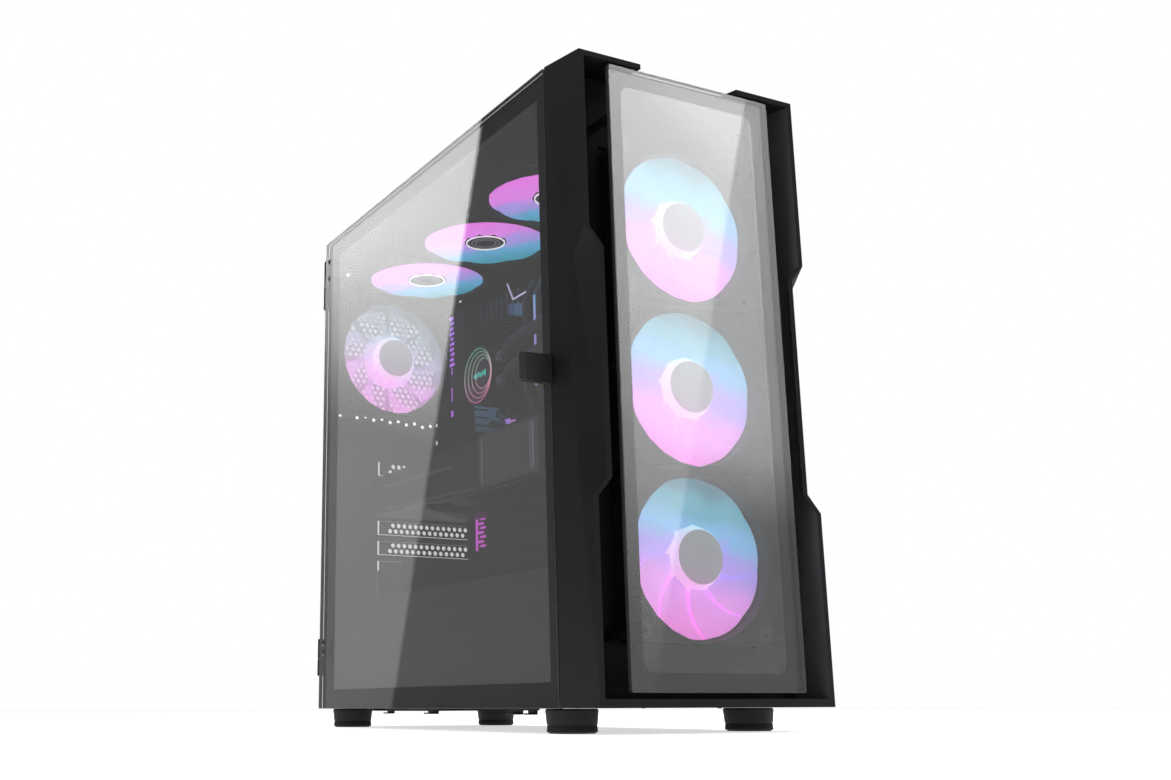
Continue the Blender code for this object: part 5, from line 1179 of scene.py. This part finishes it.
for number in (1, 2, 3):
    node = "card_fan_%d" % number
    low, high = case_box(node)
    middle = (low + high) / 2
    depth, tip = high.z - low.z, (high.y - low.y) / 2
    rotor = bmesh.new()
    blade_sheet(rotor, 0.0120, tip, depth * 0.9, 11, math.radians(30), 0.86, rise=0.42)
    lathe(rotor, [(0, 0.0004), (0.0122, 0.0004), (0.0126, 0.0012), (0.0126, depth - 0.0016),
                  (0.0112, depth - 0.0002), (0.0080, depth - 0.0004), (0, depth - 0.0006)], 40)
    lathe(rotor, ring_profile(tip - 0.0008, 0.0008, depth * 0.20, depth * 0.62), 72)
    bladed = piece(node + "_rotor", rotor, card_plastic, body=node + "_spinner",
                   turn=FACING["-z"], place=(middle.x, middle.y, high.z))
    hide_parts(node)

# ------------------------------------------------------------------ drives
# A riveted steel cage with one 3.5 inch disk: a cast body, a pressed lid with a blank label, and
# four side screws.
dressed("hard_disk", dark_aluminium)
disk_low, disk_high = case_box("hard_disk")
label_paper = finish("label_paper", (0.42, 0.42, 0.41), 0.6, grain=700.0, bump=0.1)
label = bmesh.new()
slab(label, rectangle(disk_low.x + 0.030, disk_low.y + 0.010, disk_high.x - 0.020, disk_high.y - 0.010, 0.003),
     disk_high.z, disk_high.z + 0.0003, "xy")
slab(label, rectangle(disk_low.x + 0.034, disk_low.y + 0.016, disk_high.x - 0.070, disk_low.y + 0.040, 0.002),
     disk_high.z + 0.0003, disk_high.z + 0.0004, "xy")
piece("disk_label", label, label_paper, smooth=False)
turnings("disk_screws", [(x, y, disk_high.z) for x in (disk_low.x + 0.005, disk_high.x - 0.005)
                         for y in (disk_low.y + 0.006, disk_high.y - 0.006)],
         "+z", screw_profile(0.0024, 0.0009), screw_steel, segments=16)
cage_top = case_box("drive_cage")[1].z
turnings("cage_rivets", [(x, y, cage_top) for x in (-0.060, 0.0, 0.060) for y in (0.084, 0.176)],
         "+z", [(0, 0.0010), (0.0015, 0.0008), (0.0023, 0.0)], powder_coat, segments=14)

# ------------------------------------------------------------------ power supply
# A steel box with a honeycomb outlet, a mains inlet with three blades and a rocker at the back,
# and a 120 mm fan behind a wire guard underneath.
dressed("power_supply", powder_coat)
outlet = bmesh.new()
outlet_y, inlet_x, switch_x, inlet_z = supply_high.y + 0.0001, -0.0500, -0.0235, 0.0726


def is_outlet(u, v):
    """Where the rear wall of the supply is pierced: everywhere but round the inlet and the switch."""
    inside_edge = abs(u) < 0.0640 and supply_low.z + 0.0105 < v < supply_high.z - 0.0105
    return inside_edge and not (u < switch_x + 0.0110 and abs(v - inlet_z) < 0.0150)


honeycomb(outlet, (0.0, (supply_low.z + supply_high.z) / 2), 0.0066, 0.0028, outlet_y, outlet_y + 0.0006, "xz",
          is_outlet, reach=0.08, sides=6)
piece("supply_outlet", outlet, shell_metal, smooth=False)
rim_frame = bmesh.new()
slab(rim_frame, centred(inlet_x, inlet_z, 0.0310, 0.0236, 0.002), outlet_y - 0.0002, outlet_y + 0.0016, "xz",
     holes=[centred(inlet_x, inlet_z, 0.0240, 0.0166, 0.002)])
slab(rim_frame, centred(switch_x, inlet_z, 0.0170, 0.0232, 0.002), outlet_y - 0.0002, outlet_y + 0.0012, "xz",
     holes=[centred(switch_x, inlet_z, 0.0134, 0.0194)])
piece("inlet_rims", rim_frame, frame_plastic, edge=0.0003)
blocks("inlet_blades", [((inlet_x + shift - 0.0020, outlet_y - 0.0150, inlet_z + rise - 0.0007),
                         (inlet_x + shift + 0.0020, outlet_y - 0.0020, inlet_z + rise + 0.0007))
                        for shift, rise in ((-0.0070, -0.0015), (0.0, 0.0030), (0.0070, -0.0015))],
       shell_metal, edge=0.0002)
dressed("psu_switch", frame_plastic, edge=0.0005)
turnings("rocker_marks", [(switch_x, case_box("psu_switch")[1].y, inlet_z + 0.0055)], "+y",
         ring_profile(0.00165, 0.00025, 0.0, 0.0002), label_paper, body="rocker",
         segments=24)
fan_low, fan_high = case_box("psu_fan")
middle = (fan_low + fan_high) / 2
depth, tip = fan_high.z - fan_low.z, (fan_high.y - fan_low.y) / 2
rotor = bmesh.new()
blade_sheet(rotor, 0.0200, tip, depth * 0.9, 7, math.radians(24), 0.80, rise=0.50)
lathe(rotor, [(0, 0.0004), (0.0202, 0.0004), (0.0208, 0.0014), (0.0208, depth - 0.0020),
              (0.0190, depth - 0.0004), (0, depth - 0.0004)], 48)
bladed = piece("psu_fan_rotor", rotor, frame_plastic, body="psu_fan_spinner",
               turn=FACING["-z"], place=(middle.x, middle.y, fan_high.z))
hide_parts("psu_fan")
guard = bmesh.new()
guard_z, wire_half = fan_low.z - 0.0020, 0.0007
for ring_r in (0.012, 0.022, 0.032, 0.042, 0.052, 0.0575):
    slab(guard, circle(middle.x, middle.y, ring_r + wire_half, 64), guard_z - wire_half, guard_z + wire_half,
         "xy", holes=[circle(middle.x, middle.y, ring_r - wire_half, 64)])
for i in range(4):
    spoke_x, spoke_y = math.cos((i + 0.5) * math.pi / 2), math.sin((i + 0.5) * math.pi / 2)
    spoke = bar((middle.x + spoke_x * 0.010, middle.y + spoke_y * 0.010),
                (middle.x + spoke_x * 0.073, middle.y + spoke_y * 0.073), wire_half)
    slab(guard, spoke, guard_z + 0.0004, guard_z + 0.0016, "xy")
piece("supply_fan_guard", guard, turned_steel, edge=0.0002)

# ------------------------------------------------------------------ dust filters
# Nylon mesh moulded into thin frames: one lies in the roof, held by magnets, and one slides out
# backwards from under the power supply.
nylon = finish("nylon", (0.014, 0.014, 0.014), 0.6, grain=900.0, bump=0.2)
for node, body in (("top_filter", "roof_filter"), ("psu_filter", "floor_filter")):
    dressed(node, frame_plastic)
    low, high = case_box(node)
    mesh_z = (low.z + high.z) / 2
    wires = bmesh.new()
    wire, wire_pitch, border = 0.00022, 0.0017, 0.003
    for i in range(int((high.x - low.x - 2 * border) / wire_pitch)):
        x = low.x + border + i * wire_pitch
        block(wires, (x - wire, low.y + border, mesh_z), (x + wire, high.y - border, mesh_z + 2 * wire))
    for i in range(int((high.y - low.y - 2 * border) / wire_pitch)):
        y = low.y + border + i * wire_pitch
        block(wires, (low.x + border, y - wire, mesh_z - 2 * wire), (high.x - border, y + wire, mesh_z))
    piece(node + "_weave", wires, nylon, body=body, smooth=False)

# ------------------------------------------------------------------ top sockets and buttons
# A moulded strip at the roof's front edge with a headset socket, two USB sockets and two metal
# buttons, the larger one ringed with light.
dressed("socket_strip", frame_plastic)
strip_low, strip_high = case_box("socket_strip")
strip_y = (strip_low.y + strip_high.y) / 2
top_shells, top_tongues = bmesh.new(), bmesh.new()
for x in (strip_low.x + 0.0176, strip_low.x + 0.0376):
    slab(top_shells, centred(x, strip_y, usb_width, usb_height), strip_high.z - 0.0100, strip_high.z - 0.0006,
         "xy", holes=[centred(x, strip_y, usb_width - 2 * usb_skin, usb_height - 2 * usb_skin)])
    block(top_tongues, (x - 0.0055, strip_y - 0.0020, strip_high.z - 0.0096),
          (x + 0.0055, strip_y - 0.0002, strip_high.z - 0.0016))
piece("top_port_shells", top_shells, shell_metal, edge=0.0001)
piece("top_port_tongues", top_tongues, tongue_plastic, edge=0.0002)
turnings("headset_ring", [(strip_low.x + 0.0056, strip_y, strip_high.z - 0.0030)], "+z",
         [(0.0018, 0.0), (0.0029, 0.0030), (0.0029, 0.0033), (0.0019, 0.0033), (0.0018, 0.0)], can_metal,
         segments=28)
for node, body in (("power_button", "power_key"), ("reset_button", "reset_key")):
    low, high = case_box(node)
    middle = (low + high) / 2
    radius = (high.x - low.x) / 2
    button = turnings(node + "_cap", [(middle.x, middle.y, high.z)], "+z",
                      [(0, low.z - high.z), (radius, low.z - high.z), (radius, -0.0007),
                       (radius - 0.0007, 0.0), (radius * 0.80, 0.0), (radius * 0.5, -0.0003), (0, -0.0004)],
                      turned_steel, body=body, segments=48)
    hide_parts(node)
low, high = case_box("power_button")
middle = (low + high) / 2
turnings("power_ring", [(middle.x, middle.y, high.z)], "+z",
         ring_profile(0.0078, 0.0006, -0.0002, 0.0003), ring_light, segments=48)

# ------------------------------------------------------------------ glass door
# A 4 mm sheet of smoked tempered glass with a black printed border and a tinted film, bonded to two
# hinges, with a moulded pull at its front edge.
def glass_finish(name, alpha, tint, index, metallic=0.0, painted_glow=0.0, fade=None):
    """Smoked glass or film: mostly clear, faintly cloudy, mirror-like; fade is where it darkens in z, and its
    even white glow is painted light.
    """
    material = bpy.data.materials.new(name)
    material.use_nodes = True
    nodes, links = material.node_tree.nodes, material.node_tree.links
    shader = nodes["Principled BSDF"]
    cloud = nodes.new("ShaderNodeTexNoise")
    cloud.inputs["Scale"].default_value = 9.0
    haze = nodes.new("ShaderNodeValToRGB")
    haze.color_ramp.elements[0].color = (*[c * 0.9 for c in tint], 1.0)
    haze.color_ramp.elements[1].color = (*[c * 1.1 for c in tint], 1.0)
    coords = nodes.new("ShaderNodeTexCoord")
    links.new(coords.outputs["Object"], cloud.inputs["Vector"])
    links.new(cloud.outputs["Fac"], haze.inputs["Fac"])
    links.new(haze.outputs["Color"], shader.inputs["Base Color"])
    if fade:
        split = nodes.new("ShaderNodeSeparateXYZ")
        reach = nodes.new("ShaderNodeMapRange")
        reach.inputs["From Min"].default_value, reach.inputs["From Max"].default_value = fade
        reach.inputs["To Min"].default_value, reach.inputs["To Max"].default_value = 1.0, 0.02
        darker = nodes.new("ShaderNodeVectorMath")
        darker.operation = "SCALE"
        links.new(coords.outputs["Object"], split.inputs["Vector"])
        links.new(split.outputs["Z"], reach.inputs["Value"])
        links.new(haze.outputs["Color"], darker.inputs[0])
        links.new(reach.outputs["Result"], darker.inputs["Scale"])
        links.new(darker.outputs["Vector"], shader.inputs["Base Color"])
    shader.inputs["Roughness"].default_value = 0.015
    shader.inputs["Metallic"].default_value = metallic
    shader.inputs["Alpha"].default_value = alpha
    shader.inputs["IOR"].default_value = index
    shader.inputs["Emission Color"].default_value = (1.0, 1.0, 1.0, 1.0)
    shader.inputs["Emission Strength"].default_value = painted_glow
    return material


door_glass = glass_finish("door_glass", 0.24, (0.030, 0.030, 0.032), 1.9)
front_glass = glass_finish("front_glass", 0.24, (0.050, 0.050, 0.052), 1.9)
# The door film's faint white glow is painted light that brightens its window evenly.
door_film = glass_finish("door_film", 0.187, (0.50, 0.50, 0.51), 1.5, metallic=1.0, painted_glow=0.28,
                         fade=(0.25, 0.42))
front_film = glass_finish("front_film", 0.105, (0.50, 0.50, 0.51), 1.5, metallic=1.0)
border_ink = finish("border_ink", (0.006, 0.006, 0.006), 0.5, grain=300.0, bump=0.0, Specular_IOR_Level=0.1)
ground_edge = finish("ground_edge", (0.05, 0.055, 0.053), 0.35, grain=1500.0, bump=0.1)
ink, film_gap, unprinted, lap = 0.0001, 0.0003, 0.0008, 0.0002


def glass_layers(name, face, plane, outer, inner, window, corner, material, body):
    """A sheet's printed border and tint film behind it, and its ground edge; gives back the film."""
    printed, tint, rim = bmesh.new(), bmesh.new(), bmesh.new()
    slab(printed, inset(face, unprinted, corner), inner + ink, inner + 2 * ink, plane, holes=[window])
    piece(name + "_border", printed, border_ink, body=body, smooth=False)
    tint.faces.new([tint.verts.new(PLANES[plane](u, v, inner + film_gap)) for u, v in window])
    film = piece(name + "_tint_film", tint, material, body=body, smooth=False)
    slab(rim, inset(face, -lap, corner + lap), outer + 2 * lap, inner - lap, plane,
         holes=[inset(face, lap, corner)])
    piece(name + "_ground_edge", rim, ground_edge, body=body, smooth=False)
    return film


sheets = [dressed("side_glass", door_glass),
          dressed("front_glass", front_glass)]
glass_low, glass_high = case_box("side_glass")
door_window = rectangle(0.0178, body_low + 0.0174, 0.4060, body_low + 0.4546, 0.0010)
sheets.append(glass_layers("door", (glass_low.y, glass_low.z, glass_high.y, glass_high.z), "yz",
                           glass_low.x, glass_high.x, door_window, 0.001, door_film, "side_door"))
front_low, front_high = case_box("front_glass")
front_face = (front_low.x, front_low.z, front_high.x, front_high.z)
sheets.append(glass_layers("front", front_face, "xz", front_low.y, front_high.y,
                           inset(front_face, 0.0128, 0.0085, 8), 0.002, front_film, "front_panel"))
for sheet in sheets:
    glass_only.objects.link(sheet)
for node in ("door_hinge_lower", "door_hinge_upper"):
    dressed(node, powder_coat)
    low, high = case_box(node)
    turnings(node + "_screws", [(low.x, low.y + 0.0060, z) for z in (low.z + 0.005, high.z - 0.005)], "-x",
             [(0, 0.0005), (0.0022, 0.0005), (0.0027, 0.0002), (0.0028, 0.0)], screw_steel,
             body="side_door")
dressed("door_handle", finish("handle_plastic", (0.016, 0.016, 0.017), 0.45, grain=1300.0, bump=0.2,
                              Specular_IOR_Level=0.4), edge=0.0012)

# ------------------------------------------------------------------ front bezel
# One moulded shell in satin black, pinched at both sides, with a carrier that holds the glass.
# The inner right flank has a lighter grey finish: painted light for the reflection it catches at a grazing
# angle.
bezel_plastic = finish("bezel_plastic", (0.010, 0.010, 0.011), 0.45, grain=1300.0, bump=0.18,
                       Specular_IOR_Level=0.12)
# Lighter grey for the inner right flank: painted light, a painted reflection.
painted_light_flank = finish("painted_light_flank", (0.060, 0.060, 0.062), 0.50, grain=1300.0, bump=0.15)
bezel = dressed("front_bezel", bezel_plastic, edge=0.0005)
bezel.data.materials.append(painted_light_flank)
# Faces of the inner right flank take the lighter grey of painted light.
for face in bezel.data.polygons:
    painted_light_faces = face.normal.x < -0.5 and face.center.x - seam.x > 0.070 and face.center.y - seam.y < -0.012
    if painted_light_faces:
        face.material_index = 1
dressed("glass_carrier", bezel_plastic)
